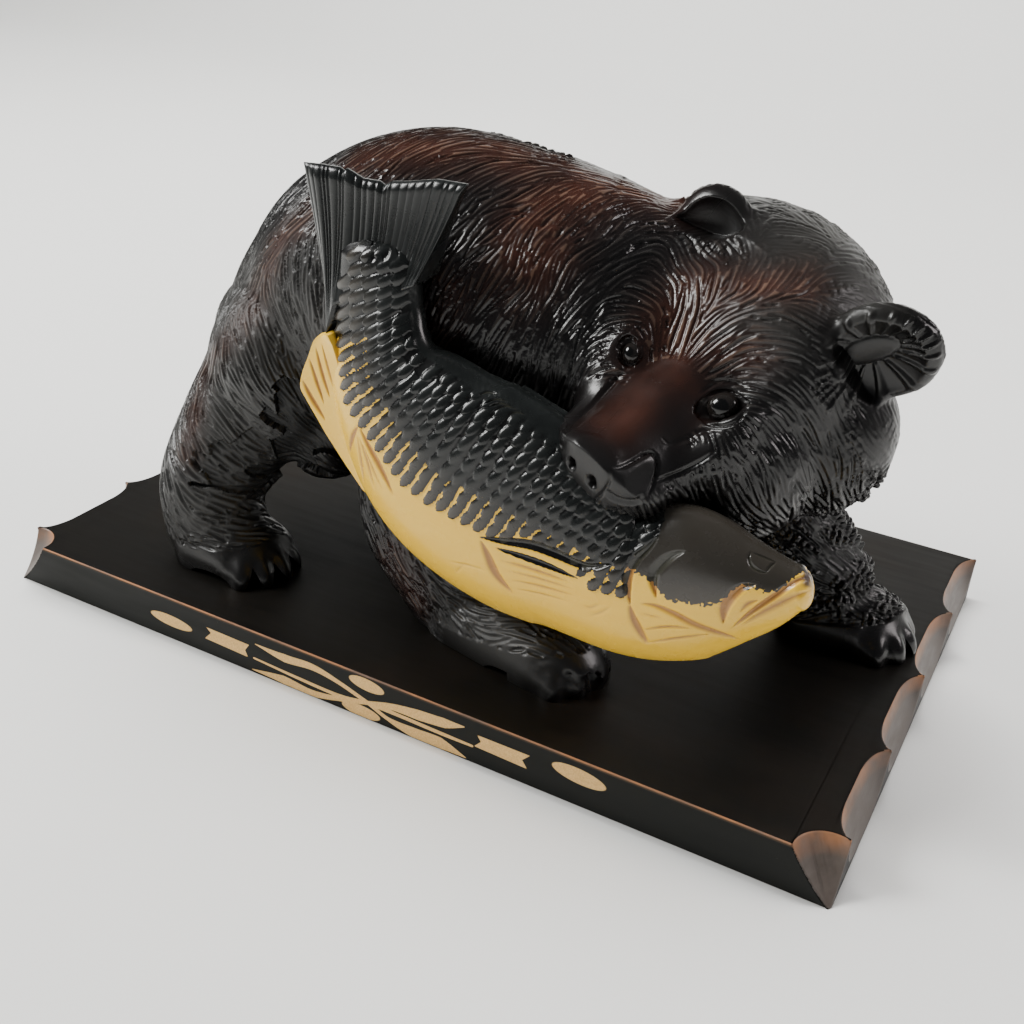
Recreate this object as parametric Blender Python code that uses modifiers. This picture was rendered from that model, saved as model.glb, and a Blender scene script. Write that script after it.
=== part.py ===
"""A carved wooden bear that walks with a salmon across its jaws, on its own plinth.

Metres, +Z up. The origin is the middle of the plinth's underside. The bear walks towards +X
and turns its head to look towards -Y, the front.
"""

import math

import bmesh
import bpy
import numpy as np
from mathutils import Matrix, Vector
from mathutils.kdtree import KDTree

# Driving dimensions of the plinth, a slab of wood with gouged ends.
PLINTH_LENGTH = 0.400
PLINTH_WIDTH = 0.245
PLINTH_THICKNESS = 0.022
GLUE_GAP = 0.0003

# The scoops along the two ends of the plinth. Each is a wide gouge cut that leans outwards.
SCOOPS_PER_END = 4
SCOOP_DEPTH = 0.0075
SCOOP_FOOT = 0.0015
SCOOP_RADIUS = 0.015
SCOOP_SQUARENESS = 3.2
SCOOP_OVERLAP = 1.035
SCOOP_SIDES = 28
# The rounder gouge cut that takes off each front corner, leaning out to both sides.
CORNER_RADIUS = 0.0128
CORNER_SHARE_TOP = 0.0133
CORNER_INSET = (0.0048, 0.0013)
CORNER_LEAN = (0.013, 0.0105)

# The carving is laid out on a grid of 198 steps to its height, from the plinth's top upwards.
BEAR_HEIGHT = 0.198
GRID_STEPS = 198
STEP = BEAR_HEIGHT / GRID_STEPS
GROUND = PLINTH_THICKNESS + GLUE_GAP

# How finely the block is roughed out, and how many triangles the finished carving keeps.
ROUGHING_VOXEL = 2.1 * STEP
ROUGHING_SMOOTHS = 7
CARVING_TRIANGLES = 8300

# The head is laid out from the middle of the nose's top edge.
# Its own axes are forward, to the bear's left, and up.
NOSE_EDGE = (87, -106, 118)
HEAD_TURN = math.radians(15)
HEAD_DROOP = math.radians(6)
HEAD_ROLL = math.radians(21)

# The locks of fur, cut as long shallow grooves that follow the combed directions.
LOCK_LENGTH = 30
LOCK_SPACING = 8.5
LOCK_WIDTH = 4.2
LOCK_DEPTH = 1.7
LOCK_SAMPLES = 16
COMB_REACH = 12
MUZZLE_MIDDLE = (-18, 0, -8)
MUZZLE_CLEAR = 36
PAW_CLEAR = 16

# Colours from the real thing, as linear values.
LACQUER_BLACK = (0.012, 0.010, 0.009, 1.0)
PLINTH_BROWN = (0.020, 0.013, 0.010, 1.0)


def clear_scene():
    for thing in list(bpy.data.objects):
        bpy.data.objects.remove(thing, do_unlink=True)
    for spare in list(bpy.data.collections):
        bpy.data.collections.remove(spare)


def new_collection(name):
    collection = bpy.data.collections.new(name)
    bpy.context.scene.collection.children.link(collection)
    return collection


def principled(name, colour, roughness, coat=0.0):
    material = bpy.data.materials.new(name)
    material.use_nodes = True
    shader = material.node_tree.nodes["Principled BSDF"]
    shader.inputs["Base Color"].default_value = colour
    shader.inputs["Roughness"].default_value = roughness
    shader.inputs["Metallic"].default_value = 0.0
    shader.inputs["Coat Weight"].default_value = coat
    material.diffuse_color = colour
    return material


def object_from_bmesh(name, shape, collection):
    mesh = bpy.data.meshes.new(name)
    shape.to_mesh(mesh)
    shape.free()
    thing = bpy.data.objects.new(name, mesh)
    collection.objects.link(thing)
    return thing


def baked(thing):
    """The object's mesh with its modifiers made real."""
    bpy.context.view_layer.update()
    graph = bpy.context.evaluated_depsgraph_get()
    mesh = bpy.data.meshes.new_from_object(thing.evaluated_get(graph))
    old = thing.data
    thing.modifiers.clear()
    thing.data = mesh
    bpy.data.meshes.remove(old)
    return mesh


def read_points(mesh):
    points = np.empty(len(mesh.vertices) * 3)
    mesh.vertices.foreach_get("co", points)
    return points.reshape(-1, 3)


def read_normals(mesh):
    normals = np.empty(len(mesh.vertices) * 3)
    mesh.vertices.foreach_get("normal", normals)
    return normals.reshape(-1, 3)


def write_points(mesh, points):
    mesh.vertices.foreach_set("co", points.ravel())
    mesh.update()


def unit(vector):
    vector = np.asarray(vector, float)
    return vector / np.linalg.norm(vector)


# The grid and the head's own axes


def at(x, y, z):
    """A place on the carving's grid, in metres."""
    return np.array([x * STEP, y * STEP, GROUND + z * STEP])


def head_axes():
    forward = np.array([
        -math.sin(HEAD_TURN) * math.cos(HEAD_DROOP),
        -math.cos(HEAD_TURN) * math.cos(HEAD_DROOP),
        -math.sin(HEAD_DROOP),
    ])
    level_left = unit(np.cross((0, 0, 1), forward))
    level_up = np.cross(forward, level_left)
    left = level_left * math.cos(HEAD_ROLL) - level_up * math.sin(HEAD_ROLL)
    up = np.cross(forward, left)
    return forward, left, up


HEAD_FORWARD, HEAD_LEFT, HEAD_UP = head_axes()


def on_head(forward, left, up):
    """A place on the head, in grid steps from the nose's top edge, in metres."""
    offset = HEAD_FORWARD * forward + HEAD_LEFT * left + HEAD_UP * up
    return at(*NOSE_EDGE) + offset * STEP


# Round forms that the carving is roughed out from


def smooth_run(rows, share):
    """A Catmull-Rom curve through the rows, read at a share of its run."""
    rows = np.asarray(rows, float)
    spot = share * (len(rows) - 1)
    span = min(int(spot), len(rows) - 2)
    t = spot - span
    before = rows[span - 1] if span > 0 else 2 * rows[span] - rows[span + 1]
    after = rows[span + 2] if span + 2 < len(rows) else 2 * rows[span + 1] - rows[span]
    start, end = rows[span], rows[span + 1]
    return 0.5 * (
        2 * start
        + (end - before) * t
        + (2 * before - 5 * start + 4 * end - after) * t * t
        + (3 * start - before - 3 * end + after) * t ** 3
    )


def swept_form(stations, up_hint=(0, 0, 1), rings=26, sides=22, cap=0.75):
    """A closed limb through stations of (centre, half width, half height) in metres.

    It starts as a sphere whose rings are laid along the path, with a round cap past each end.
    """
    rows = [tuple(centre) + (width, height) for centre, width, height in stations]
    shape = bmesh.new()
    bmesh.ops.create_uvsphere(shape, u_segments=sides, v_segments=rings, radius=1.0)
    first, last = np.array(rows[0]), np.array(rows[-1])
    run = sum(
        np.linalg.norm(np.array(rows[i + 1][:3]) - np.array(rows[i][:3]))
        for i in range(len(rows) - 1)
    )
    cap_start = cap * (first[3] + first[4]) / 2
    cap_end = cap * (last[3] + last[4]) / 2
    whole = cap_start + run + cap_end
    for vertex in shape.verts:
        polar = math.acos(max(-1.0, min(1.0, vertex.co.z)))
        around = math.atan2(vertex.co.y, vertex.co.x)
        along = polar / math.pi * whole
        share = min(1.0, max(0.0, (along - cap_start) / run))
        row = smooth_run(rows, share)
        nudge = 0.01
        ahead = smooth_run(rows, min(1.0, share + nudge))[:3]
        behind = smooth_run(rows, max(0.0, share - nudge))[:3]
        tangent = unit(ahead - behind)
        side = unit(np.cross(tangent, up_hint))
        rise = np.cross(side, tangent)
        centre = row[:3].copy()
        shrink = 1.0
        if along < cap_start:
            past = 1 - along / cap_start
            centre = centre - tangent * cap_start * past
            shrink = math.sqrt(max(0.0, 1 - past * past))
        elif along > cap_start + run:
            past = (along - cap_start - run) / cap_end
            centre = centre + tangent * cap_end * past
            shrink = math.sqrt(max(0.0, 1 - past * past))
        place = (
            centre
            + side * math.cos(around) * row[3] * shrink
            + rise * math.sin(around) * row[4] * shrink
        )
        vertex.co = Vector(place)
    bmesh.ops.remove_doubles(shape, verts=shape.verts, dist=1e-6)
    bmesh.ops.recalc_face_normals(shape, faces=shape.faces)
    return shape


def round_form(centre, axes, radii, sides=22):
    """An ellipsoid with its own three axes."""
    shape = bmesh.new()
    bmesh.ops.create_uvsphere(shape, u_segments=sides, v_segments=sides // 2 + 1, radius=1.0)
    frame = np.array([unit(axis) for axis in axes])
    for vertex in shape.verts:
        vertex.co = Vector(np.asarray(centre) + (np.array(vertex.co) * radii) @ frame)
    bmesh.ops.recalc_face_normals(shape, faces=shape.faces)
    return shape


def level_form(x, y, z, length, width, height, heading=0.0):
    """An ellipsoid that lies level on the grid, turned about the vertical."""
    axes = (
        (math.cos(heading), math.sin(heading), 0),
        (-math.sin(heading), math.cos(heading), 0),
        (0, 0, 1),
    )
    return round_form(at(x, y, z), axes, np.array([length, width, height]) * STEP)


def head_form(forward, left, up, radii):
    axes = (HEAD_FORWARD, HEAD_LEFT, HEAD_UP)
    return round_form(on_head(forward, left, up), axes, np.array(radii) * STEP)


def grid_limb(stations, **options):
    """A swept form whose stations are (x, y, z, half width, half height) in grid steps."""
    placed = [(at(x, y, z), width * STEP, height * STEP) for x, y, z, width, height in stations]
    return swept_form(placed, **options)


def head_limb(stations, **options):
    placed = [
        (on_head(forward, left, up), width * STEP, height * STEP)
        for forward, left, up, width, height in stations
    ]
    return swept_form(placed, up_hint=HEAD_UP, **options)


# The bear's body and legs

TORSO = (
    (-110, -24, 87, 39, 39),
    (-88, -22, 102, 48, 53),
    (-60, -20, 118, 57, 66),
    (-28, -19, 126, 61, 72),
    (10, -18, 125, 61, 70),
    (45, -16, 121, 59, 66),
    (75, -12, 116, 54, 60),
    (100, -6, 108, 46, 52),
)

NECK = (
    (66, -8, 127, 50, 54),
    (98, 0, 133, 50, 54),
    (118, -14, 132, 48, 52),
    (122, -36, 128, 42, 44),
)


def body_forms():
    return [
        grid_limb(TORSO, rings=34, sides=28),
        grid_limb(NECK),
        level_form(30, -40, 116, 44, 34, 50),
        level_form(34, 6, 114, 42, 32, 50),
        level_form(-90, -50, 88, 38, 34, 44),
        level_form(-78, 8, 86, 38, 34, 48),
        level_form(-72, -46, 66, 26, 24, 27),
        level_form(-146, -24, 82, 9, 9, 12),
    ]


# Each paw: its heel and the hub its toes fan out from, on the plinth, and the way the toes face.
PAWS = {
    "near_hind": ((-116, -81), (-94, -80), math.radians(-15)),
    "near_fore": ((16, -67), (63, -75), math.radians(-18)),
    "far_fore": ((144, 17), (168, 21), math.radians(-14)),
    "far_hind": ((-58, 33), (-38, 36), math.radians(10)),
}
PAW_HALF_WIDTH = 19.5
HEEL_HEIGHT = 27
INSTEP_HEIGHT = 25
TOE_HEIGHT = 15
TOE_REACH = 23
CLAWS = 4
CLAW_FAN = math.radians(88)
TOE_RADII = (13, 7, 13)
# The wedges between the claws: reach from the hub and share of full size, inside and outside.
NOTCH_APEX = 10
NOTCH_HALF_WIDTH = 5
NOTCH_FOOT = -4
NOTCH_ENDS = ((10, 0.45), (32, 1.5))
ARCH_RADII = (13, 8, 5)

LEGS = {
    "near_hind": (
        (-96, -54, 80, 35, 28),
        (-110, -68, 54, 28, 24),
        (-116, -77, 34, 25, 22),
        (-112, -80, 16, 27, 20),
    ),
    "near_fore": (
        (12, -44, 92, 34, 28),
        (-14, -54, 62, 28, 24),
        (-12, -60, 38, 27, 22),
        (12, -66, 18, 29, 19),
    ),
    "far_fore": (
        (92, 12, 98, 34, 28),
        (121, 13, 72, 24, 23),
        (134, 15, 48, 20, 21),
        (147, 18, 24, 24, 20),
    ),
    "far_hind": (
        (-76, 14, 80, 36, 28),
        (-62, 26, 52, 28, 24),
        (-58, 32, 30, 25, 21),
        (-54, 33, 14, 27, 20),
    ),
}


def toe_ways(paw):
    """The level direction of each claw of a paw, with the hub they start from."""
    _, hub, facing = paw
    for index in range(CLAWS):
        turn = facing + CLAW_FAN * (index / (CLAWS - 1) - 0.5)
        yield hub, turn


def paw_form(paw):
    """A wedge, high at the heel and instep, that ends in a blunt row of toes."""
    heel, hub, facing = paw
    ahead = (math.cos(facing), math.sin(facing))
    toes = (hub[0] + ahead[0] * 7, hub[1] + ahead[1] * 7)
    return grid_limb(
        (
            (heel[0], heel[1], 7, PAW_HALF_WIDTH, HEEL_HEIGHT - 7),
            (hub[0], hub[1], 5, PAW_HALF_WIDTH + 1.5, INSTEP_HEIGHT - 5),
            (toes[0], toes[1], 3, PAW_HALF_WIDTH, TOE_HEIGHT),
        ),
        cap=0.7,
    )


def toe_forms(paw):
    for hub, turn in toe_ways(paw):
        reach = TOE_REACH - TOE_RADII[0] + 2
        x, y = hub[0] + math.cos(turn) * reach, hub[1] + math.sin(turn) * reach
        yield level_form(x, y, 1, *TOE_RADII, turn)


def leg_forms():
    forms = []
    for name, stations in LEGS.items():
        forms.append(grid_limb(stations, up_hint=(0, 1, 0)))
        forms.append(paw_form(PAWS[name]))
        forms.extend(toe_forms(PAWS[name]))
    return forms


def notch_cutter(hub, turn, shape):
    """A wedge under the front of a paw, wide and high outside, narrow and low inside."""
    ahead = np.array([math.cos(turn), math.sin(turn)])
    across = np.array([-math.sin(turn), math.cos(turn)])
    rings = []
    for reach, share in NOTCH_ENDS:
        half_width = NOTCH_HALF_WIDTH * share
        corners = ((-half_width, NOTCH_FOOT), (half_width, NOTCH_FOOT), (0, NOTCH_APEX * share))
        ring = []
        for side, height in corners:
            x, y = np.array(hub) + ahead * reach + across * side
            ring.append(shape.verts.new(Vector(at(x, y, height))))
        rings.append(ring)
    inner, outer = rings
    shape.faces.new(inner)
    shape.faces.new(outer)
    for index in range(3):
        following = (index + 1) % 3
        shape.faces.new((inner[index], inner[following], outer[following], outer[index]))


def make_notches(scratch):
    """The wedges cut between the claws of all four paws."""
    shape = bmesh.new()
    for paw in PAWS.values():
        turns = [turn for _, turn in toe_ways(paw)]
        for before, after in zip(turns, turns[1:]):
            notch_cutter(paw[1], (before + after) / 2, shape)
    bmesh.ops.recalc_face_normals(shape, faces=shape.faces)
    return as_cutter(object_from_bmesh("claw_notches", shape, scratch))


def make_arches(scratch):
    """The shallow arch under each paw's outer side, between the heel and the first claw."""
    forms = []
    for heel, hub, facing in PAWS.values():
        side = -1 if facing < 0 else 1
        x, y = 0.25 * np.array(heel) + 0.75 * np.array(hub)
        forms.append(level_form(x, y + side * (PAW_HALF_WIDTH + 2), -1, *ARCH_RADII, facing / 2))
    return as_cutter(join_forms("side_arches", forms, scratch))


def as_cutter(thing):
    thing.hide_render = True
    thing.display_type = "WIRE"
    return thing


# The bear's head

# Place, radius, outward turn and backward lean of each ear.
# Side is 1 on the bear's left, -1 on its right.
EARS = {
    1: ((-86, 44, 45), 20, 0.42, -0.10),
    -1: ((-94, -37, 37), 17.5, -0.05, 0.30),
}
EAR_THICKNESS = 7.5
EYE_PLACE = (-38, 20.5, 17)
EYE_RADII = (6.0, 6.5, 4.6)


def ear_axes(side):
    """Facing, across and upright axes of an ear."""
    _, _, turn, lean = EARS[side]
    facing = unit(HEAD_FORWARD + HEAD_LEFT * side * turn + HEAD_UP * lean)
    upright = unit(HEAD_UP * 0.72 + HEAD_LEFT * side * 0.70)
    across = unit(np.cross(upright, facing))
    upright = np.cross(facing, across)
    return facing, across, upright


def ear_form(side):
    place, radius, _, _ = EARS[side]
    radii = np.array([EAR_THICKNESS, radius, radius * 1.08]) * STEP
    return round_form(on_head(*place), ear_axes(side), radii)


def head_forms():
    forms = [
        head_form(-82, 0, 6, (42, 46, 42)),
        head_form(-64, 0, 13, (33, 36, 27)),
        head_form(-88, 38, -2, (26, 30, 36)),
        head_limb((
            (-58, 0, -6, 26, 25),
            (-32, 0, -6, 18, 16),
            (-9, 0, -9, 14, 11),
        )),
        head_form(-3, 0, -11, (9, 16, 14)),
    ]
    for side in (-1, 1):
        forms.append(head_limb((
            (-46, 16 * side, -9, 15, 18),
            (-28, 16 * side, -11, 12, 14),
            (-12, 12 * side, -12, 12, 13),
            (-6, 6 * side, -13, 11, 12),
        )))
        forms.append(head_form(-66, 29 * side, -14, (34, 26, 34)))
        forms.append(head_form(-62, 24 * side, -30, (34, 24, 30)))
        forms.append(head_form(-50, 22 * side, -2, (26, 17, 26)))
        forms.append(head_form(-44, 19 * side, 22, (13, 12, 8)))
        forms.append(ear_form(side))
    return forms


def eyeballs(scratch):
    """Almond eyes that fill the sockets."""
    forms = []
    for side in (-1, 1):
        forward, left, up = EYE_PLACE
        axes = (HEAD_FORWARD, HEAD_LEFT, HEAD_UP)
        place = on_head(forward - 3, left * side, up)
        forms.append(round_form(place, axes, np.array(EYE_RADII) * STEP, sides=10))
    return as_cutter(join_forms("eyeballs", forms, scratch))


# The salmon, from the root of its tail to its snout:
# x and z of the middle, half height, y of the middle and half thickness.
SALMON = (
    (-18, 161, 19, -84, 8),
    (-17, 140, 22, -85, 10),
    (-12, 120, 29, -87, 13),
    (2, 102, 39, -88, 16),
    (21, 87, 46, -88.5, 18),
    (46, 76, 48, -89, 18.5),
    (73, 69, 44, -89, 18),
    (101, 64, 37.5, -89, 17),
    (127, 68.5, 27.5, -89, 15),
    (147.5, 75, 17, -89, 11),
    (161, 80.5, 8.5, -89, 7),
)
TAIL_ROOT = (-18, -82, 163)
TAIL_TIPS = ((-51, -81, 191), (18, -81, 195))
TAIL_NOTCH = (-15, -81, 190)
TAIL_HALF_THICKNESS = 4.2


def salmon_body():
    stations = [
        (at(x, y, z), thickness * STEP, height * STEP)
        for x, z, height, y, thickness in SALMON
    ]
    return swept_form(stations, up_hint=(0.35, 0, 1), rings=44, sides=24, cap=0.6)


def fin_plate(outline, half_thickness, lean=0.0):
    """A flat fin from its outline of (x, y, z) points, thick across Y."""
    shape = bmesh.new()
    vertices = [shape.verts.new(Vector(at(*point))) for point in outline]
    face = shape.faces.new(vertices)
    pushed = bmesh.ops.extrude_face_region(shape, geom=[face])
    moved = [part for part in pushed["geom"] if isinstance(part, bmesh.types.BMVert)]
    thickness = half_thickness * STEP
    bmesh.ops.translate(shape, verts=moved, vec=(lean * STEP, thickness, 0))
    bmesh.ops.translate(shape, verts=vertices, vec=(-lean * STEP, -thickness, 0))
    bmesh.ops.triangulate(shape, faces=shape.faces)
    bmesh.ops.recalc_face_normals(shape, faces=shape.faces)
    return shape


def salmon_fins():
    left_tip, right_tip = TAIL_TIPS
    tail = fin_plate(
        (
            (TAIL_ROOT[0] - 18, TAIL_ROOT[1], TAIL_ROOT[2] - 6),
            left_tip,
            TAIL_NOTCH,
            right_tip,
            (TAIL_ROOT[0] + 19, TAIL_ROOT[1], TAIL_ROOT[2] - 2),
        ),
        TAIL_HALF_THICKNESS,
    )
    anal = fin_plate(
        ((-34, -88, 132), (-47, -92, 107), (-37, -93, 86), (-16, -91, 86), (-16, -88, 114)),
        3.2,
    )
    dorsal = fin_plate(
        ((10, -87, 126), (27, -85, 141), (48, -85, 132), (71, -86, 119), (67, -88, 104)),
        2.8,
    )
    pelvic = level_form(-10, -101, 85, 8, 4.5, 17)
    pectoral = level_form(71, -105, 64, 26, 5, 11)
    return [tail, anal, dorsal, pelvic, pectoral]


def join_forms(name, forms, collection):
    """All the forms in one mesh, still overlapping."""
    whole = bpy.data.meshes.new(name)
    gathered = bmesh.new()
    for form in forms:
        passing = bpy.data.meshes.new("passing")
        form.to_mesh(passing)
        form.free()
        gathered.from_mesh(passing)
        bpy.data.meshes.remove(passing)
    gathered.to_mesh(whole)
    gathered.free()
    thing = bpy.data.objects.new(name, whole)
    collection.objects.link(thing)
    return thing


# Hollows that are cut into the roughed-out head


def scoop_out(points, centre, axes, radii, push):
    """Vertices inside the ellipsoid move along the push until they lie on its far wall."""
    frame = np.array([unit(axis) for axis in axes])
    local = ((points - centre) @ frame.T) / radii
    step = (unit(push) @ frame.T) / radii
    inside = (local ** 2).sum(axis=1) < 1.0
    if not inside.any():
        return points
    held = local[inside]
    a = step @ step
    b = 2 * held @ step
    c = (held ** 2).sum(axis=1) - 1.0
    travel = (-b + np.sqrt(b * b - 4 * a * c)) / (2 * a)
    moved = points.copy()
    moved[inside] = points[inside] + travel[:, None] * unit(push)
    return moved


def carve_head(points):
    head = (HEAD_FORWARD, HEAD_LEFT, HEAD_UP)
    for side in (-1, 1):
        forward, left, up = EYE_PLACE
        inward = -HEAD_FORWARD * 0.7 - HEAD_LEFT * side * 0.55 - HEAD_UP * 0.3
        points = scoop_out(
            points, on_head(forward + 4, (left + 1) * side, up), head,
            np.array([8, 8, 5.5]) * STEP, inward,
        )
        points = scoop_out(
            points, on_head(3, 5.5 * side, -9), head,
            np.array([5, 2.8, 3.2]) * STEP, -HEAD_FORWARD,
        )
        facing, across, upright = ear_axes(side)
        place, radius, _, _ = EARS[side]
        points = scoop_out(
            points, on_head(*place) + facing * EAR_THICKNESS * STEP, (facing, across, upright),
            np.array([EAR_THICKNESS, radius * 0.7, radius * 0.74]) * STEP, -facing,
        )
    return points


# Combed directions of the fur: a place on the grid and the way the hair runs there.
COMB = (
    ((-30, -15, 194), (-1.0, 0.0, 0.05)),
    ((40, -13, 186), (-1.0, 0.1, 0.1)),
    ((-95, -17, 164), (-0.9, 0.0, -0.5)),
    ((-150, -18, 110), (-0.35, 0.0, -1.0)),
    ((0, -70, 140), (-0.5, -0.1, -1.0)),
    ((45, -66, 130), (-0.35, -0.1, -1.0)),
    ((-60, -72, 130), (-0.7, -0.1, -0.9)),
    ((0, 45, 140), (-0.6, 0.2, -0.9)),
    ((-60, 42, 130), (-0.7, 0.2, -0.9)),
    ((-100, -78, 100), (0.25, -0.2, -1.0)),
    ((-118, -80, 80), (-0.1, -0.1, -1.0)),
    ((-90, 48, 100), (0.25, 0.2, -1.0)),
    ((-116, -100, 30), (0.3, 0.0, -1.0)),
    ((-60, 66, 30), (0.5, 0.1, -1.0)),
    ((-30, -78, 60), (0.5, -0.1, -1.0)),
    ((120, 50, 70), (0.4, 0.1, -1.0)),
    ((-40, -15, 56), (-1.0, 0.0, 0.0)),
    ((110, 40, 120), (-0.3, 0.6, -0.8)),
    ((150, -10, 100), (0.2, 0.1, -1.0)),
)
HEAD_COMB = (
    ((-50, 0, 40), (-0.8, 0.0, 0.6)),
    ((-80, 0, 46), (-1.0, 0.0, 0.0)),
    ((-62, 36, 20), (-0.7, 0.7, 0.1)),
    ((-62, -36, 20), (-0.7, -0.7, 0.1)),
    ((-60, 48, -16), (-0.7, 0.5, -0.6)),
    ((-60, -48, -16), (-0.7, -0.5, -0.6)),
    ((-60, 34, -40), (-0.5, 0.3, -0.8)),
    ((-110, 30, 20), (-0.9, 0.4, -0.2)),
    ((-110, -30, 20), (-0.9, -0.4, -0.2)),
)


def comb_table():
    """Places and unit directions of the whole comb, in metres."""
    places = [at(*place) for place, _ in COMB]
    ways = [unit(way) for _, way in COMB]
    frame = np.array([HEAD_FORWARD, HEAD_LEFT, HEAD_UP])
    places += [on_head(*place) for place, _ in HEAD_COMB]
    ways += [unit(np.array(way) @ frame) for _, way in HEAD_COMB]
    return np.array(places), np.array(ways)


def combed_ways(points, normals, places, ways, reach):
    """The hair's way at each point, blended from the comb and laid flat on the surface."""
    gaps = ((points[:, None, :] - places[None, :, :]) ** 2).sum(axis=2)
    weights = 1.0 / (gaps + reach ** 2) ** 2
    blend = weights @ ways
    blend -= normals * (blend * normals).sum(axis=1, keepdims=True)
    return blend / np.maximum(np.linalg.norm(blend, axis=1, keepdims=True), 1e-9)


def salmon_share(points):
    """1 on the salmon and 0 on the bear, from how near each point is to the salmon's middle line."""
    rows = [(at(x, y, z), height * STEP, thickness * STEP) for x, z, height, y, thickness in SALMON]
    share = np.zeros(len(points))
    steps = 60
    table = [tuple(centre) + (height, thickness) for centre, height, thickness in rows]
    for index in range(steps + 1):
        row = smooth_run(table, index / steps)
        offset = points - row[:3]
        flat = np.linalg.norm(offset[:, [0, 2]], axis=1) / (row[3] * 1.06)
        deep = np.abs(offset[:, 1]) / (row[4] * 1.25)
        share = np.maximum(share, ((flat ** 2 + deep ** 2) < 1.0).astype(float))
    in_tail = (
        (points[:, 2] > GROUND + (TAIL_ROOT[2] - 10) * STEP)
        & (points[:, 1] < (TAIL_ROOT[1] + 9) * STEP)
        & (points[:, 0] < (TAIL_TIPS[1][0] + 8) * STEP)
        & (points[:, 0] > (TAIL_TIPS[0][0] - 8) * STEP)
    )
    return np.maximum(share, in_tail.astype(float))


def carve_locks(points, normals):
    """Long shallow grooves along the combed directions, clear of the salmon, muzzle and paws."""
    places, ways = comb_table()
    flow = combed_ways(points, normals, places, ways, COMB_REACH * STEP)
    from_muzzle = np.linalg.norm(points - on_head(*MUZZLE_MIDDLE), axis=1)
    muzzle_clear = from_muzzle > MUZZLE_CLEAR * STEP
    above_paws = points[:, 2] > GROUND + PAW_CLEAR * STEP
    furred = (salmon_share(points) < 0.5) & muzzle_clear & above_paws
    tree = KDTree(len(points))
    for index, point in enumerate(points):
        tree.insert(point, index)
    tree.balance()
    taken = np.zeros(len(points), bool)
    spine = []
    for index in range(len(points)):
        if taken[index] or not furred[index]:
            continue
        place = points[index].copy()
        for sample in range(LOCK_SAMPLES):
            _, nearest, _ = tree.find(place)
            if not furred[nearest]:
                break
            fade = math.sin(math.pi * (sample + 0.5) / LOCK_SAMPLES) ** 0.6
            spine.append((points[nearest], fade))
            place = points[nearest] + flow[nearest] * (LOCK_LENGTH / LOCK_SAMPLES * STEP)
            for _, close, _ in tree.find_range(points[nearest], LOCK_SPACING * STEP * 0.5):
                taken[close] = True
        for _, close, _ in tree.find_range(points[index], LOCK_SPACING * STEP):
            taken[close] = True
    cuts = KDTree(len(spine))
    for index, (place, _) in enumerate(spine):
        cuts.insert(place, index)
    cuts.balance()
    depth = np.zeros(len(points))
    for index in np.nonzero(furred)[0]:
        _, nearest, gap = cuts.find(points[index])
        share = max(0.0, 1.0 - gap / (LOCK_WIDTH * STEP))
        depth[index] = share * spine[nearest][1]
    return points - normals * (depth * LOCK_DEPTH * STEP)[:, None]


def trim_soles(shape):
    """The paws end on one flat plane, a glue line above the plinth."""
    cut = bmesh.ops.bisect_plane(
        shape,
        geom=shape.verts[:] + shape.edges[:] + shape.faces[:],
        plane_co=(0, 0, GROUND),
        plane_no=(0, 0, 1),
        clear_inner=True,
    )
    rim = [part for part in cut["geom_cut"] if isinstance(part, bmesh.types.BMEdge)]
    bmesh.ops.triangle_fill(shape, edges=rim, use_beauty=True)


def cut_or_join(thing, other, operation):
    change = thing.modifiers.new(other.name, "BOOLEAN")
    change.operation = operation
    change.object = other


def make_bear(collection, scratch):
    forms = body_forms() + leg_forms() + head_forms() + [salmon_body()] + salmon_fins()
    rough = join_forms("bear_with_salmon", forms, collection)
    remesh = rough.modifiers.new("roughing", "REMESH")
    remesh.mode = "VOXEL"
    remesh.voxel_size = ROUGHING_VOXEL
    smooth = rough.modifiers.new("smoothing", "SMOOTH")
    smooth.factor = 0.5
    smooth.iterations = ROUGHING_SMOOTHS
    mesh = baked(rough)
    points = carve_head(read_points(mesh))
    write_points(mesh, points)
    points = carve_locks(points, read_normals(mesh))
    write_points(mesh, points)
    decimate = rough.modifiers.new("facets", "DECIMATE")
    decimate.ratio = CARVING_TRIANGLES / (2.0 * len(mesh.polygons))
    decimate.use_collapse_triangulate = True
    mesh = baked(rough)
    shape = bmesh.new()
    shape.from_mesh(mesh)
    trim_soles(shape)
    keep_largest_body(shape)
    bmesh.ops.triangulate(shape, faces=shape.faces)
    bmesh.ops.recalc_face_normals(shape, faces=shape.faces)
    shape.to_mesh(mesh)
    shape.free()
    mesh.materials.clear()
    mesh.materials.append(principled("black_lacquer", LACQUER_BLACK, 0.25, coat=0.6))
    cut_or_join(rough, make_notches(scratch), "DIFFERENCE")
    cut_or_join(rough, make_arches(scratch), "DIFFERENCE")
    cut_or_join(rough, eyeballs(scratch), "UNION")
    return rough


def keep_largest_body(shape):
    """Specks that the voxels left behind are dropped."""
    unseen = set(shape.verts)
    bodies = []
    while unseen:
        front = [unseen.pop()]
        body = list(front)
        while front:
            vertex = front.pop()
            for edge in vertex.link_edges:
                other = edge.other_vert(vertex)
                if other in unseen:
                    unseen.remove(other)
                    front.append(other)
                    body.append(other)
        bodies.append(body)
    bodies.sort(key=len)
    for body in bodies[:-1]:
        bmesh.ops.delete(shape, geom=body, context="VERTS")


# The plinth


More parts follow.
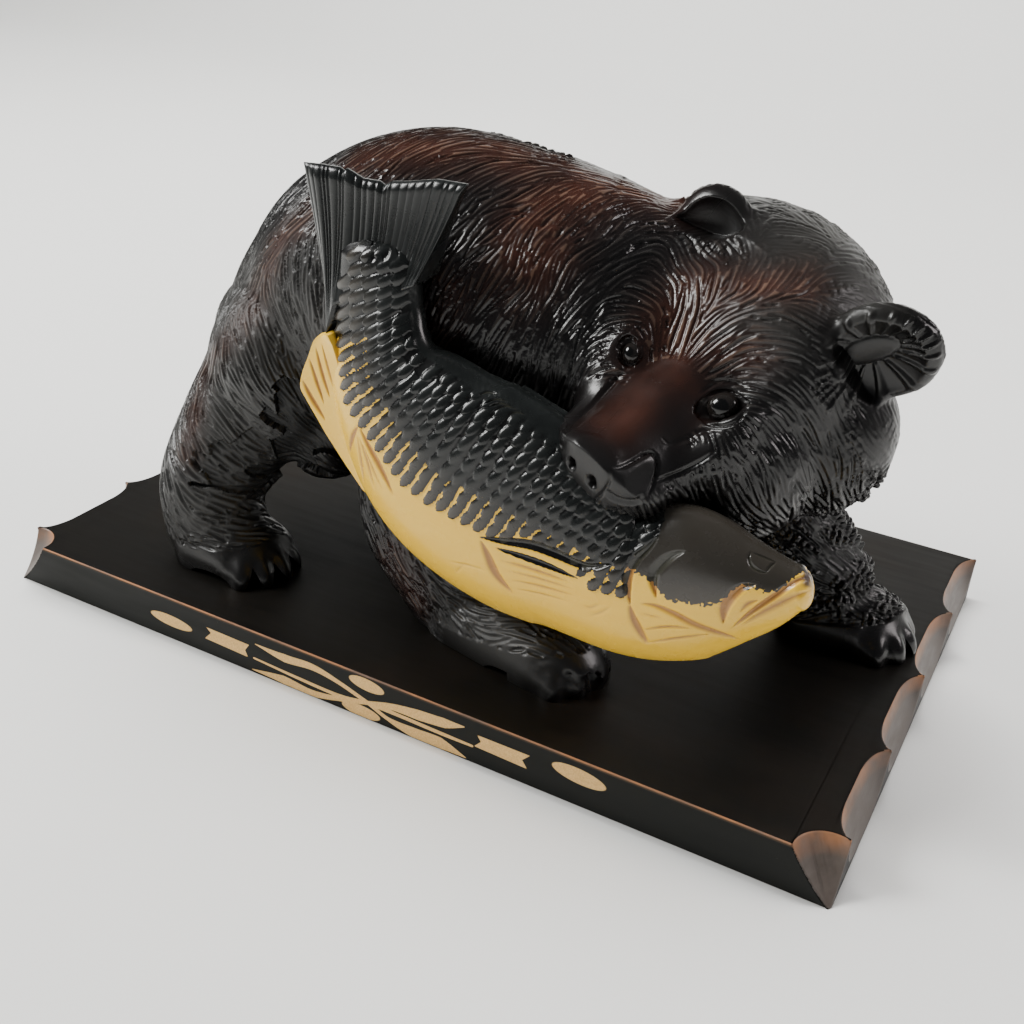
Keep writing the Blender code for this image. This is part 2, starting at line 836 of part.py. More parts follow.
def scoop_cutter(name, place, half_length, radius, lean, squareness, scratch):
    """An upright cutter whose section is a rounded box, leaning outwards as it goes down."""
    shape = bmesh.new()
    height = 3 * PLINTH_THICKNESS
    bmesh.ops.create_cone(
        shape, cap_ends=True, segments=SCOOP_SIDES, radius1=1.0, radius2=1.0, depth=height
    )
    power = 2.0 / squareness
    for vertex in shape.verts:
        around = math.atan2(vertex.co.y, vertex.co.x)
        across = math.copysign(abs(math.cos(around)) ** power, math.cos(around)) * radius
        along = math.copysign(abs(math.sin(around)) ** power, math.sin(around)) * half_length
        below = -vertex.co.z
        vertex.co = Vector((
            place[0] + across + lean[0] * below,
            place[1] + along + lean[1] * below,
            PLINTH_THICKNESS + vertex.co.z,
        ))
    bmesh.ops.recalc_face_normals(shape, faces=shape.faces)
    return as_cutter(object_from_bmesh(name, shape, scratch))


def plinth_cutters(scratch):
    cutters = []
    half_length, half_width = PLINTH_LENGTH / 2, PLINTH_WIDTH / 2
    drop = PLINTH_THICKNESS - SCOOP_FOOT
    lean = SCOOP_DEPTH / drop
    first = -half_width + CORNER_SHARE_TOP
    pitch = (half_width - first) / SCOOPS_PER_END
    for side in (-1, 1):
        for index in range(SCOOPS_PER_END):
            middle = first + pitch * (index + 0.5)
            place = (side * (half_length - SCOOP_DEPTH + SCOOP_RADIUS), middle)
            cutters.append(scoop_cutter(
                f"scoop_{index + 1}_{'left' if side < 0 else 'right'}",
                place, pitch / 2 * SCOOP_OVERLAP, SCOOP_RADIUS, (side * lean, 0.0),
                SCOOP_SQUARENESS, scratch,
            ))
        corner = (side * (half_length - CORNER_INSET[0]), CORNER_INSET[1] - half_width)
        outward = (
            side * CORNER_LEAN[0] / PLINTH_THICKNESS,
            -CORNER_LEAN[1] / PLINTH_THICKNESS,
        )
        cutters.append(scoop_cutter(
            f"corner_scoop_{'left' if side < 0 else 'right'}",
            corner, CORNER_RADIUS, CORNER_RADIUS, outward, 2.0, scratch,
        ))
    return cutters


def make_plinth(collection, scratch):
    shape = bmesh.new()
    bmesh.ops.create_cube(
        shape,
        size=1.0,
        matrix=Matrix.Translation((0, 0, PLINTH_THICKNESS / 2))
        @ Matrix.Diagonal((PLINTH_LENGTH, PLINTH_WIDTH, PLINTH_THICKNESS, 1)),
    )
    plinth = object_from_bmesh("plinth", shape, collection)
    plinth.data.materials.append(principled("dark_plinth_wood", PLINTH_BROWN, 0.4))
    for cutter in plinth_cutters(scratch):
        cut_or_join(plinth, cutter, "DIFFERENCE")
    return plinth


def main():
    clear_scene()
    collection = new_collection("carved_bear")
    scratch = new_collection("cutters")
    make_plinth(collection, scratch)
    make_bear(collection, scratch)


main()
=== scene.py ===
"""The look of a carved wooden bear that walks on its plinth with a salmon across its jaws.

Metres, +Z up, in the CAD frame. The carving is laid out on the same grid of millimetre steps
above the plinth's top as the solids. It is roughed out, cut with large and small gouge strokes
that follow the combed directions of the fur, and then parted into pieces.
"""

import math
from functools import reduce
from itertools import product

import bmesh
import bpy
import numpy as np
from bpy.props import FloatProperty, FloatVectorProperty, PointerProperty
from mathutils import Matrix, Vector, noise
from mathutils.bvhtree import BVHTree
from mathutils.kdtree import KDTree


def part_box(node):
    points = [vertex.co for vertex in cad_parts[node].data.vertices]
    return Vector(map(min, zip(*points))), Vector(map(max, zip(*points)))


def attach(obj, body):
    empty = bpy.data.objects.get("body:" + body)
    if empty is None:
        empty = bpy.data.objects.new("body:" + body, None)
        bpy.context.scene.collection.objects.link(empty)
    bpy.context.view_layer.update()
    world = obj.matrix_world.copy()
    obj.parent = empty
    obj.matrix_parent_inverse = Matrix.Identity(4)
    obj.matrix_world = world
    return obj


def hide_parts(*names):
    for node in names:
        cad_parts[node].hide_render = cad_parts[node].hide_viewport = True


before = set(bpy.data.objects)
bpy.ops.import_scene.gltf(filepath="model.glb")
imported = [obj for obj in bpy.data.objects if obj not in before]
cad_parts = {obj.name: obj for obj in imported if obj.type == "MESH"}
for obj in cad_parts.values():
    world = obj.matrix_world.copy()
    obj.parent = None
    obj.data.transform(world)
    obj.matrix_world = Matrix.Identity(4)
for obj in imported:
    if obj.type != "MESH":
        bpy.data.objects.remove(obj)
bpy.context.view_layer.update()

bl_info = {
    "name": "Carved Bear with Salmon",
    "version": (1, 0, 0),
    "blender": (4, 5, 0),
    "location": "View3D > Sidebar > Carved Bear",
    "description": "Makes a carved wooden bear with a salmon in its jaws, on a plinth",
    "category": "Object",
}

PLINTH_LOW, PLINTH_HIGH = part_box("plinth")

# The carving's grid: one step is a millimetre, and it starts a glue line above the plinth.
STEP = 0.001
HAIR = 0.0001
GROUND = PLINTH_HIGH[2] + 0.0003

# The photograph's camera. A spot is a place in the photograph, from its upper left corner.
PHOTO_SIZE = 1024
CAMERA_PLACE = (0.2382, -0.4550, 0.3212)
CAMERA_YAW = math.radians(-27.52)
CAMERA_PITCH = math.radians(28.47)
CAMERA_ROLL = math.radians(3.31)
FOCAL_PIXELS = 1218.2
SENSOR_WIDTH = 36.0

# The head is laid out from the middle of the nose's top edge, along its own axes.
NOSE_EDGE = (87, -106, 118)
HEAD_TURN = math.radians(15)
HEAD_DROOP = math.radians(6)
HEAD_ROLL = math.radians(21)

# Points that are measured at a time.
BATCH = 20000


# Small tools for points and vectors


def unit(vector):
    vector = np.asarray(vector, float)
    return vector / np.linalg.norm(vector)


def at(x, y, z):
    """A place on the carving's grid, in metres."""
    return np.array([x * STEP, y * STEP, GROUND + z * STEP])


def head_axes():
    forward = np.array([
        -math.sin(HEAD_TURN) * math.cos(HEAD_DROOP),
        -math.cos(HEAD_TURN) * math.cos(HEAD_DROOP),
        -math.sin(HEAD_DROOP),
    ])
    level_left = unit(np.cross((0, 0, 1), forward))
    level_up = np.cross(forward, level_left)
    left = level_left * math.cos(HEAD_ROLL) - level_up * math.sin(HEAD_ROLL)
    return forward, left, np.cross(forward, left)


HEAD_FORWARD, HEAD_LEFT, HEAD_UP = head_axes()
HEAD_FRAME = np.array([HEAD_FORWARD, HEAD_LEFT, HEAD_UP])


def on_head(forward, left, up):
    """A place on the head, in grid steps from the nose's top edge, in metres."""
    return at(*NOSE_EDGE) + (np.array([forward, left, up]) @ HEAD_FRAME) * STEP


def in_head(points):
    """The points in the head's own grid steps: forward, to its left, and up."""
    return (points - at(*NOSE_EDGE)) @ HEAD_FRAME.T / STEP


def in_grid(points):
    """The points in the carving's grid steps."""
    return (points - np.array([0, 0, GROUND])) / STEP


def ramp(values, low, high):
    """0 below low, 1 above high and smooth between them."""
    share = np.clip((np.asarray(values, float) - low) / (high - low), 0.0, 1.0)
    return share * share * (3 - 2 * share)


def rows_unit(rows):
    return rows / np.maximum(np.linalg.norm(rows, axis=1, keepdims=True), 1e-12)


def tree_of(places):
    """A tree that finds the nearest of the places."""
    tree = KDTree(len(places))
    for index, place in enumerate(places):
        tree.insert(place, index)
    tree.balance()
    return tree


def camera_axes():
    """Right, up and forward of the photograph's camera."""
    forward = np.array([
        math.sin(CAMERA_YAW) * math.cos(CAMERA_PITCH),
        math.cos(CAMERA_YAW) * math.cos(CAMERA_PITCH),
        -math.sin(CAMERA_PITCH),
    ])
    level = unit(np.cross(forward, (0, 0, 1)))
    upright = np.cross(level, forward)
    right = level * math.cos(CAMERA_ROLL) + upright * math.sin(CAMERA_ROLL)
    up = upright * math.cos(CAMERA_ROLL) - level * math.sin(CAMERA_ROLL)
    return right, up, forward


CAMERA_RIGHT, CAMERA_UP, CAMERA_FORWARD = camera_axes()


def sight_way(spot):
    """The way of the camera's sight line through a spot."""
    half = PHOTO_SIZE / 2
    return unit(
        CAMERA_FORWARD
        + CAMERA_RIGHT * (spot[0] - half) / FOCAL_PIXELS
        - CAMERA_UP * (spot[1] - half) / FOCAL_PIXELS
    )


def seen_on(tree, spot):
    """Where the sight line through a spot meets a shape, and its normal."""
    place, normal, _, _ = tree.ray_cast(Vector(CAMERA_PLACE), Vector(sight_way(spot)))
    if place is None:
        return None, None
    return np.array(place), np.array(normal)


def on_sheet(spot, y):
    """Where the sight line through a spot meets the upright sheet at y grid steps."""
    way = sight_way(spot)
    return np.array(CAMERA_PLACE) + way * (y * STEP - CAMERA_PLACE[1]) / way[1]


def photo_spots(points):
    """The spots at which the points are seen."""
    offset = points - np.array(CAMERA_PLACE)
    away = offset @ CAMERA_FORWARD
    half = PHOTO_SIZE / 2
    return np.stack((
        half + FOCAL_PIXELS * (offset @ CAMERA_RIGHT) / away,
        half - FOCAL_PIXELS * (offset @ CAMERA_UP) / away,
    ), axis=1)


def soft_noise(points, size, seed):
    """Smooth noise from -1 to 1, with features of the given size in metres."""
    return np.array([noise.noise(Vector(row)) for row in points / size + seed])


# Small tools for meshes


def read(parts, name, width=3, kind=float):
    """One of a mesh's own lists as an array, with a row for each part."""
    values = np.empty(len(parts) * width, kind)
    parts.foreach_get(name, values)
    return values.reshape(len(parts), width)


def read_points(mesh):
    return read(mesh.vertices, "co")


def read_normals(mesh):
    return read(mesh.vertices, "normal")


def write_points(mesh, points):
    mesh.vertices.foreach_set("co", points.ravel())
    mesh.update()


def write_layer(mesh, name, values):
    """A number for each point of the mesh, for its material to read."""
    layer = mesh.attributes.new(name, "FLOAT", "POINT")
    layer.data.foreach_set("value", np.asarray(values, np.float32))


def add_object(name, data):
    thing = bpy.data.objects.new(name, data)
    bpy.context.scene.collection.objects.link(thing)
    return thing


def mesh_from(name, shape):
    mesh = bpy.data.meshes.new(name)
    shape.to_mesh(mesh)
    shape.free()
    return mesh


def shape_from(mesh):
    shape = bmesh.new()
    shape.from_mesh(mesh)
    return shape


def baked(thing):
    """The object's mesh with its modifiers made real."""
    bpy.context.view_layer.update()
    graph = bpy.context.evaluated_depsgraph_get()
    mesh = bpy.data.meshes.new_from_object(thing.evaluated_get(graph))
    old = thing.data
    thing.modifiers.clear()
    thing.data = mesh
    bpy.data.meshes.remove(old)
    return mesh


def finish_piece(thing, material, smooth=True):
    """Material, slot and body of a finished piece."""
    thing.data.materials.clear()
    thing.data.materials.append(material)
    thing.data.polygons.foreach_set("use_smooth", [smooth] * len(thing.data.polygons))
    if thing.data.attributes.get("kept"):
        take_normals(thing.data)
    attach(thing, "root")


def add_carved(name, mesh, material, cutters=()):
    """A finished piece of the one carved block."""
    piece = add_object(name, mesh)
    if cutters:
        cut_out(piece, cutters)
    finish_piece(piece, material)
    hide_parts("bear_with_salmon")


def keep_normals(mesh):
    """Write each point's normal down, so that pieces cut from the mesh meet without a seam."""
    layer = mesh.attributes.new("kept", "FLOAT_VECTOR", "POINT")
    layer.data.foreach_set("vector", read_normals(mesh).ravel())


# Beyond this angle a kept normal belongs to a face that is gone.
STEEPEST_KEPT = math.radians(40)


def take_normals(mesh):
    """Shade the mesh by its kept normals, except on lids and later cuts, which stay flat."""
    layer = mesh.attributes["kept"]
    corners = read(mesh.loops, "vertex_index", 1, int)[:, 0]
    normals = rows_unit(read(layer.data, "vector"))[corners]
    sides = read(mesh.polygons, "loop_total", 1, int)[:, 0]
    flat = np.repeat(read(mesh.polygons, "normal"), sides, axis=0)
    agrees = (normals * flat).sum(axis=1, keepdims=True) > math.cos(STEEPEST_KEPT)
    mesh.attributes.remove(layer)
    mesh.normals_split_custom_set(np.where(agrees, normals, flat))


def drop(thing):
    mesh = thing.data
    bpy.data.objects.remove(thing, do_unlink=True)
    bpy.data.meshes.remove(mesh)


def cap_openings(shape):
    """Flat lids over whatever a cut has left open."""
    rims = [edge for edge in shape.edges if edge.is_boundary]
    if rims:
        bmesh.ops.triangle_fill(shape, edges=rims, use_beauty=False)


def cut_away(mesh, place, way):
    """A closed copy of the mesh without what lies ahead of the plane."""
    shape = shape_from(mesh)
    bmesh.ops.bisect_plane(
        shape, geom=shape.verts[:] + shape.edges[:] + shape.faces[:],
        plane_co=Vector(place), plane_no=Vector(way), clear_outer=True,
    )
    cap_openings(shape)
    return mesh_from("part", shape)


def smooth_run(rows, share):
    """A smooth curve through the rows, read at a share of its run."""
    rows = np.asarray(rows, float)
    spot = share * (len(rows) - 1)
    span = min(int(spot), len(rows) - 2)
    t = spot - span
    before = rows[span - 1] if span > 0 else 2 * rows[span] - rows[span + 1]
    after = rows[span + 2] if span + 2 < len(rows) else 2 * rows[span + 1] - rows[span]
    start, end = rows[span], rows[span + 1]
    return 0.5 * (
        2 * start
        + (end - before) * t
        + (2 * before - 5 * start + 4 * end - after) * t * t
        + (3 * start - before - 3 * end + after) * t ** 3
    )


# The share of a path between the two places that give its direction.
NUDGE = 0.01


def swept_form(stations, up_hint=(0, 0, 1), rings=60, sides=44, cap=0.75, spread=None):
    """A closed limb through stations of (centre, half width, half height) in metres.

    It starts as a sphere whose rings are laid along the path, with a round cap past each end.
    Spread may move the angles round it, so that one side gets more of them.
    """
    rows = [tuple(centre) + (width, height) for centre, width, height in stations]
    shape = bmesh.new()
    bmesh.ops.create_uvsphere(shape, u_segments=sides, v_segments=rings, radius=1.0)
    mesh = mesh_from("limb", shape)
    ball = read_points(mesh)
    first, last = np.array(rows[0]), np.array(rows[-1])
    run = sum(
        np.linalg.norm(np.array(rows[i + 1][:3]) - np.array(rows[i][:3]))
        for i in range(len(rows) - 1)
    )
    cap_start = cap * (first[3] + first[4]) / 2
    cap_end = cap * (last[3] + last[4]) / 2
    whole = cap_start + run + cap_end
    polar = np.arccos(np.clip(ball[:, 2], -1.0, 1.0))
    around = np.arctan2(ball[:, 1], ball[:, 0])
    if spread is not None:
        around = spread(around)
    levels, level_of = np.unique(np.round(polar, 6), return_inverse=True)
    frames = []
    for level in levels:
        along = level / math.pi * whole
        share = min(1.0, max(0.0, (along - cap_start) / run))
        row = smooth_run(rows, share)
        ahead = smooth_run(rows, min(1.0, share + NUDGE))[:3]
        behind = smooth_run(rows, max(0.0, share - NUDGE))[:3]
        tangent = unit(ahead - behind)
        side = unit(np.cross(tangent, up_hint))
        rise = np.cross(side, tangent)
        reach, past = -cap_start, 1 - along / cap_start
        if past <= 0:
            reach, past = cap_end, max(0.0, (along - cap_start - run) / cap_end)
        centre = row[:3] + tangent * reach * past
        shrink = math.sqrt(max(0.0, 1 - past * past))
        frames.append(np.concatenate((centre, side * row[3] * shrink, rise * row[4] * shrink)))
    frames = np.array(frames)[level_of]
    places = (
        frames[:, 0:3]
        + frames[:, 3:6] * np.cos(around)[:, None]
        + frames[:, 6:9] * np.sin(around)[:, None]
    )
    write_points(mesh, places)
    shape = shape_from(mesh)
    bpy.data.meshes.remove(mesh)
    bmesh.ops.recalc_face_normals(shape, faces=shape.faces)
    return shape


def round_form(centre, axes, radii, sides=44):
    """An ellipsoid with its own three axes."""
    shape = bmesh.new()
    bmesh.ops.create_uvsphere(shape, u_segments=sides, v_segments=sides // 2 + 1, radius=1.0)
    axis_rows = np.array([unit(axis) for axis in axes])
    for vertex in shape.verts:
        vertex.co = Vector(np.asarray(centre) + (np.array(vertex.co) * radii) @ axis_rows)
    bmesh.ops.recalc_face_normals(shape, faces=shape.faces)
    return shape


def level_form(x, y, z, length, width, height, heading=0.0):
    """An ellipsoid that lies level on the grid, turned about the vertical."""
    axes = (
        (math.cos(heading), math.sin(heading), 0),
        (-math.sin(heading), math.cos(heading), 0),
        (0, 0, 1),
    )
    return round_form(at(x, y, z), axes, np.array([length, width, height]) * STEP)


def head_form(forward, left, up, *radii):
    return round_form(on_head(forward, left, up), HEAD_FRAME, np.array(radii) * STEP)


def grid_limb(stations, **options):
    """A swept form whose stations are (x, y, z, half width, half height) in grid steps."""
    placed = [(at(x, y, z), width * STEP, height * STEP) for x, y, z, width, height in stations]
    return swept_form(placed, **options)


def head_limb(stations, **options):
    placed = [
        (on_head(forward, left, up), width * STEP, height * STEP)
        for forward, left, up, width, height in stations
    ]
    return swept_form(placed, up_hint=HEAD_UP, **options)


def join_forms(name, forms):
    """All the forms in one mesh, still overlapping."""
    gathered = bmesh.new()
    for form in forms:
        passing = mesh_from("passing", form)
        gathered.from_mesh(passing)
        bpy.data.meshes.remove(passing)
    return mesh_from(name, gathered)


# The bear's body and legs, as in the solids

TORSO = (
    (-110, -24, 87, 39, 39), (-88, -22, 102, 48, 53), (-60, -20, 118, 57, 66),
    (-28, -19, 126, 61, 72), (10, -18, 125, 61, 70), (45, -16, 121, 59, 66), (75, -12, 116, 54, 60),
    (100, -6, 108, 46, 52),
)

NECK = ((66, -8, 127, 50, 54), (98, 0, 133, 50, 54), (118, -14, 132, 48, 52), (122, -36, 128, 42, 44))


# Rounded forms that lie level: centre and radii.
BODY_FORMS = (
    (30, -40, 116, 44, 34, 50), (34, 6, 114, 42, 32, 50), (-90, -50, 88, 38, 34, 44),
    (-78, 8, 86, 38, 34, 48), (-72, -46, 66, 26, 24, 27), (-146, -24, 82, 9, 9, 12),
)


def body_forms():
    limbs = [grid_limb(TORSO, rings=80, sides=64), grid_limb(NECK, sides=56)]
    return limbs + [level_form(*form) for form in BODY_FORMS]


# Each paw: its heel and the hub its toes fan out from, on the plinth, and the way the toes face.
PAWS = {
    "near_hind": ((-116, -81), (-94, -80), math.radians(-15)),
    "near_fore": ((16, -67), (63, -75), math.radians(-18)),
    "far_fore": ((144, 17), (168, 21), math.radians(-14)),
    "far_hind": ((-58, 33), (-38, 36), math.radians(10)),
}
PAW_HALF_WIDTH = 19.5
HEEL_HEIGHT = 27
INSTEP_HEIGHT = 25
TOE_HEIGHT = 15
TOE_REACH = 23
CLAWS = 4
CLAW_FAN = math.radians(88)
TOE_RADII = (13, 7, 13)
NOTCH_APEX = 10
NOTCH_HALF_WIDTH = 5
NOTCH_FOOT = -4
NOTCH_ENDS = ((10, 0.45), (32, 1.5))
ARCH_RADII = (13, 8, 5)

LEGS = {
    "near_hind": (
        (-96, -54, 80, 35, 28), (-110, -68, 54, 28, 24), (-116, -77, 34, 25, 22),
        (-112, -80, 16, 27, 20),
    ),
    "near_fore": (
        (12, -44, 92, 34, 28), (-14, -54, 62, 28, 24), (-12, -60, 38, 27, 22),
        (12, -66, 18, 29, 19),
    ),
    "far_fore": (
        (92, 12, 98, 34, 28), (121, 13, 72, 24, 23), (134, 15, 48, 20, 21), (147, 18, 24, 24, 20),
    ),
    "far_hind": (
        (-76, 14, 80, 36, 28), (-62, 26, 52, 28, 24), (-58, 32, 30, 25, 21), (-54, 33, 14, 27, 20),
    ),
}


def toe_ways(paw):
    """The level direction of each claw of a paw, with the hub they start from."""
    _, hub, facing = paw
    for index in range(CLAWS):
        yield hub, facing + CLAW_FAN * (index / (CLAWS - 1) - 0.5)


def paw_form(paw):
    """A wedge, high at the heel and instep, that ends in a blunt row of toes."""
    heel, hub, facing = paw
    toes = (hub[0] + math.cos(facing) * 7, hub[1] + math.sin(facing) * 7)
    return grid_limb(
        (
            (heel[0], heel[1], 7, PAW_HALF_WIDTH, HEEL_HEIGHT - 7),
            (hub[0], hub[1], 5, PAW_HALF_WIDTH + 1.5, INSTEP_HEIGHT - 5),
            (toes[0], toes[1], 3, PAW_HALF_WIDTH, TOE_HEIGHT),
        ),
        cap=0.7,
    )


def toe_forms(paw):
    for hub, turn in toe_ways(paw):
        reach = TOE_REACH - TOE_RADII[0] + 2
        x, y = hub[0] + math.cos(turn) * reach, hub[1] + math.sin(turn) * reach
        yield level_form(x, y, 1, *TOE_RADII, turn)


def leg_forms():
    forms = []
    for name, stations in LEGS.items():
        forms.append(grid_limb(stations, up_hint=(0, 1, 0)))
        forms.append(paw_form(PAWS[name]))
        forms.extend(toe_forms(PAWS[name]))
    return forms


def notch_form(hub, turn):
    """A wedge under the front of a paw, wide and high outside, narrow and low inside."""
    shape = bmesh.new()
    bmesh.ops.create_cone(shape, cap_ends=True, segments=3, radius1=1.0, radius2=1.0, depth=1.0)
    ahead = np.array([math.cos(turn), math.sin(turn)])
    across = np.array([-math.sin(turn), math.cos(turn)])
    for vertex in shape.verts:
        reach, share = NOTCH_ENDS[0] if vertex.co.z < 0 else NOTCH_ENDS[1]
        corner = int(round((math.atan2(vertex.co.y, vertex.co.x) % math.tau) / (math.tau / 3)))
        half_width = NOTCH_HALF_WIDTH * share
        side, height = (
            (-half_width, NOTCH_FOOT), (half_width, NOTCH_FOOT), (0, NOTCH_APEX * share)
        )[corner % 3]
        x, y = np.array(hub) + ahead * reach + across * side
        vertex.co = Vector(at(x, y, height))
    bmesh.ops.recalc_face_normals(shape, faces=shape.faces)
    return shape


def paw_cutters():
    """The wedges between the claws, and the shallow arch under each paw's outer side."""
    wedges = []
    arches = []
    for paw in PAWS.values():
        turns = [turn for _, turn in toe_ways(paw)]
        for before, after in zip(turns, turns[1:]):
            wedges.append(notch_form(paw[1], (before + after) / 2))
        heel, hub, facing = paw
        side = -1 if facing < 0 else 1
        x, y = 0.25 * np.array(heel) + 0.75 * np.array(hub)
        arches.append(level_form(x, y + side * (PAW_HALF_WIDTH + 2), -1, *ARCH_RADII, facing / 2))
    return wedges, arches


# The bear's head, as in the solids

EARS = {1: ((-86, 44, 45), 20, 0.42, -0.10), -1: ((-94, -37, 37), 17.5, -0.05, 0.30)}
EAR_THICKNESS = 7.5
# Half the width and length of the mound in the near ear, its height, and the ridges round it.
EAR_MOUND = (5.5, 10.5, 2.2)
EAR_RIDGES = 19
EYE_PLACES = {1: (-43.2, 16.8, 15.6), -1: (-37, -22, 13)}
EYE_SIZES = {1: 1.0, -1: 0.68}
EYE_RADII = (4.2, 5.8, 5.0)
EYE_SINK, PUPIL_REACH, EYE_SIDES = 2.6, 6, 48


def ear_axes(side):
    """Facing, across and upright axes of an ear."""
    _, _, turn, lean = EARS[side]
    facing = unit(HEAD_FORWARD + HEAD_LEFT * side * turn + HEAD_UP * lean)
    upright = unit(HEAD_UP * 0.72 + HEAD_LEFT * side * 0.70)
    across = unit(np.cross(upright, facing))
    return facing, across, np.cross(facing, across)


def ear_form(side):
    place, radius, _, _ = EARS[side]
    radii = np.array([EAR_THICKNESS, radius, radius * 1.08]) * STEP
    return round_form(on_head(*place), ear_axes(side), radii)


# Rounded forms of the head: forward, left and up of each centre, and its radii.
MIDDLE_FORMS = ((-82, 0, 6, 42, 46, 42), (-64, 0, 13, 33, 36, 27), (-88, 38, -2, 26, 30, 36))
NOSE_FORMS = ((-3, 0, -11, 9, 16, 14), (-8, 0, -18, 12, 20, 12))
CHEEK_FORMS = (
    (-18, 15, -18, 16, 10, 12), (-66, 29, -14, 34, 26, 34), (-62, 24, -30, 34, 24, 30),
    (-50, 22, -2, 26, 17, 26), (-44, 19, 22, 13, 12, 8),
)
MUZZLE = ((-58, 0, -6, 26, 25), (-32, 0, -6, 18, 16), (-9, 0, -9, 14, 11))
MUZZLE_SIDE = (
    (-46, 16, -9, 15, 18), (-28, 16, -11, 12, 14), (-12, 12, -12, 12, 13), (-6, 6, -13, 11, 12),
)


def head_forms():
    forms = [head_form(*form) for form in MIDDLE_FORMS]
    forms.append(head_limb(MUZZLE))
    forms.extend(head_form(*form) for form in NOSE_FORMS)
    for side in (-1, 1):
        forms.append(head_limb([(ahead, left * side, *rest) for ahead, left, *rest in MUZZLE_SIDE]))
        for ahead, left, *rest in CHEEK_FORMS:
            forms.append(head_form(ahead, left * side, *rest))
        forms.append(ear_form(side))
    return forms


# Cuts that shape a surface, and lines laid on it


def scoop_out(points, centre, axes, radii, push):
    """Points inside the ellipsoid move along the push until they lie on its far wall."""
    axis_rows = np.array([unit(axis) for axis in axes])
    local = ((points - centre) @ axis_rows.T) / radii
    step = (unit(push) @ axis_rows.T) / radii
    inside = (local ** 2).sum(axis=1) < 1.0
    if not inside.any():
        return points
    held = local[inside]
    a = step @ step
    b = 2 * held @ step
    c = (held ** 2).sum(axis=1) - 1.0
    travel = (-b + np.sqrt(b * b - 4 * a * c)) / (2 * a)
    moved = points.copy()
    moved[inside] = points[inside] + travel[:, None] * unit(push)
    return moved


def from_line(points, line, reach):
    """The points' distance from a line through places, and its share there, within a reach."""
    line = np.asarray(line)
    gap = np.full(len(points), np.inf)
    share = np.zeros(len(points))
    low, high = line.min(axis=0) - reach, line.max(axis=0) + reach
    near = np.nonzero(((points > low) & (points < high)).all(axis=1))[0]
    if len(near) == 0:
        return gap, share
    held = points[near]
    lengths = np.linalg.norm(np.diff(line, axis=0), axis=1)
    whole = lengths.sum()
    run = 0.0
    for start, end, length in zip(line, line[1:], lengths):
        way = (end - start) / max(length, 1e-9)
        along = np.clip((held - start) @ way, 0.0, length)
        away = np.linalg.norm(held - start - along[:, None] * way, axis=1)
        closer = away < gap[near]
        gap[near[closer]] = away[closer]
        share[near[closer]] = (run + along[closer]) / whole
        run += length
    return gap, share


def smoothed_line(line, steps=6):
    """More places along a smooth curve through the line's places."""
    line = np.asarray(line, float)
    if len(line) < 3:
        return line
    count = (len(line) - 1) * steps
    return np.array([smooth_run(line, index / count) for index in range(count + 1)])


def seen_line(tree, spots):
    """A line of spots, laid on a shape."""
    places = [seen_on(tree, spot)[0] for spot in smoothed_line(spots, 4)]
    return np.array([place for place in places if place is not None])


# The share of a groove over which each end tapers.
GROOVE_TAPER = 0.25


def groove_depth(points, line, width, depth):
    """Depth of a groove along a line, tapered at its ends."""
    if len(line) < 2:
        return np.zeros(len(points))
    half = width * STEP / 2
    gap, share = from_line(points, line, half)
    fade = np.minimum(1.0, np.minimum(share, 1 - share) / GROOVE_TAPER)
    fade = np.maximum(fade, 0.0) ** 0.7
    return np.clip(1 - gap / half, 0.0, 1.0) * fade * depth * STEP


# The way the fur runs: strokes seen in the photograph, by X and Y of the root and of the tip.

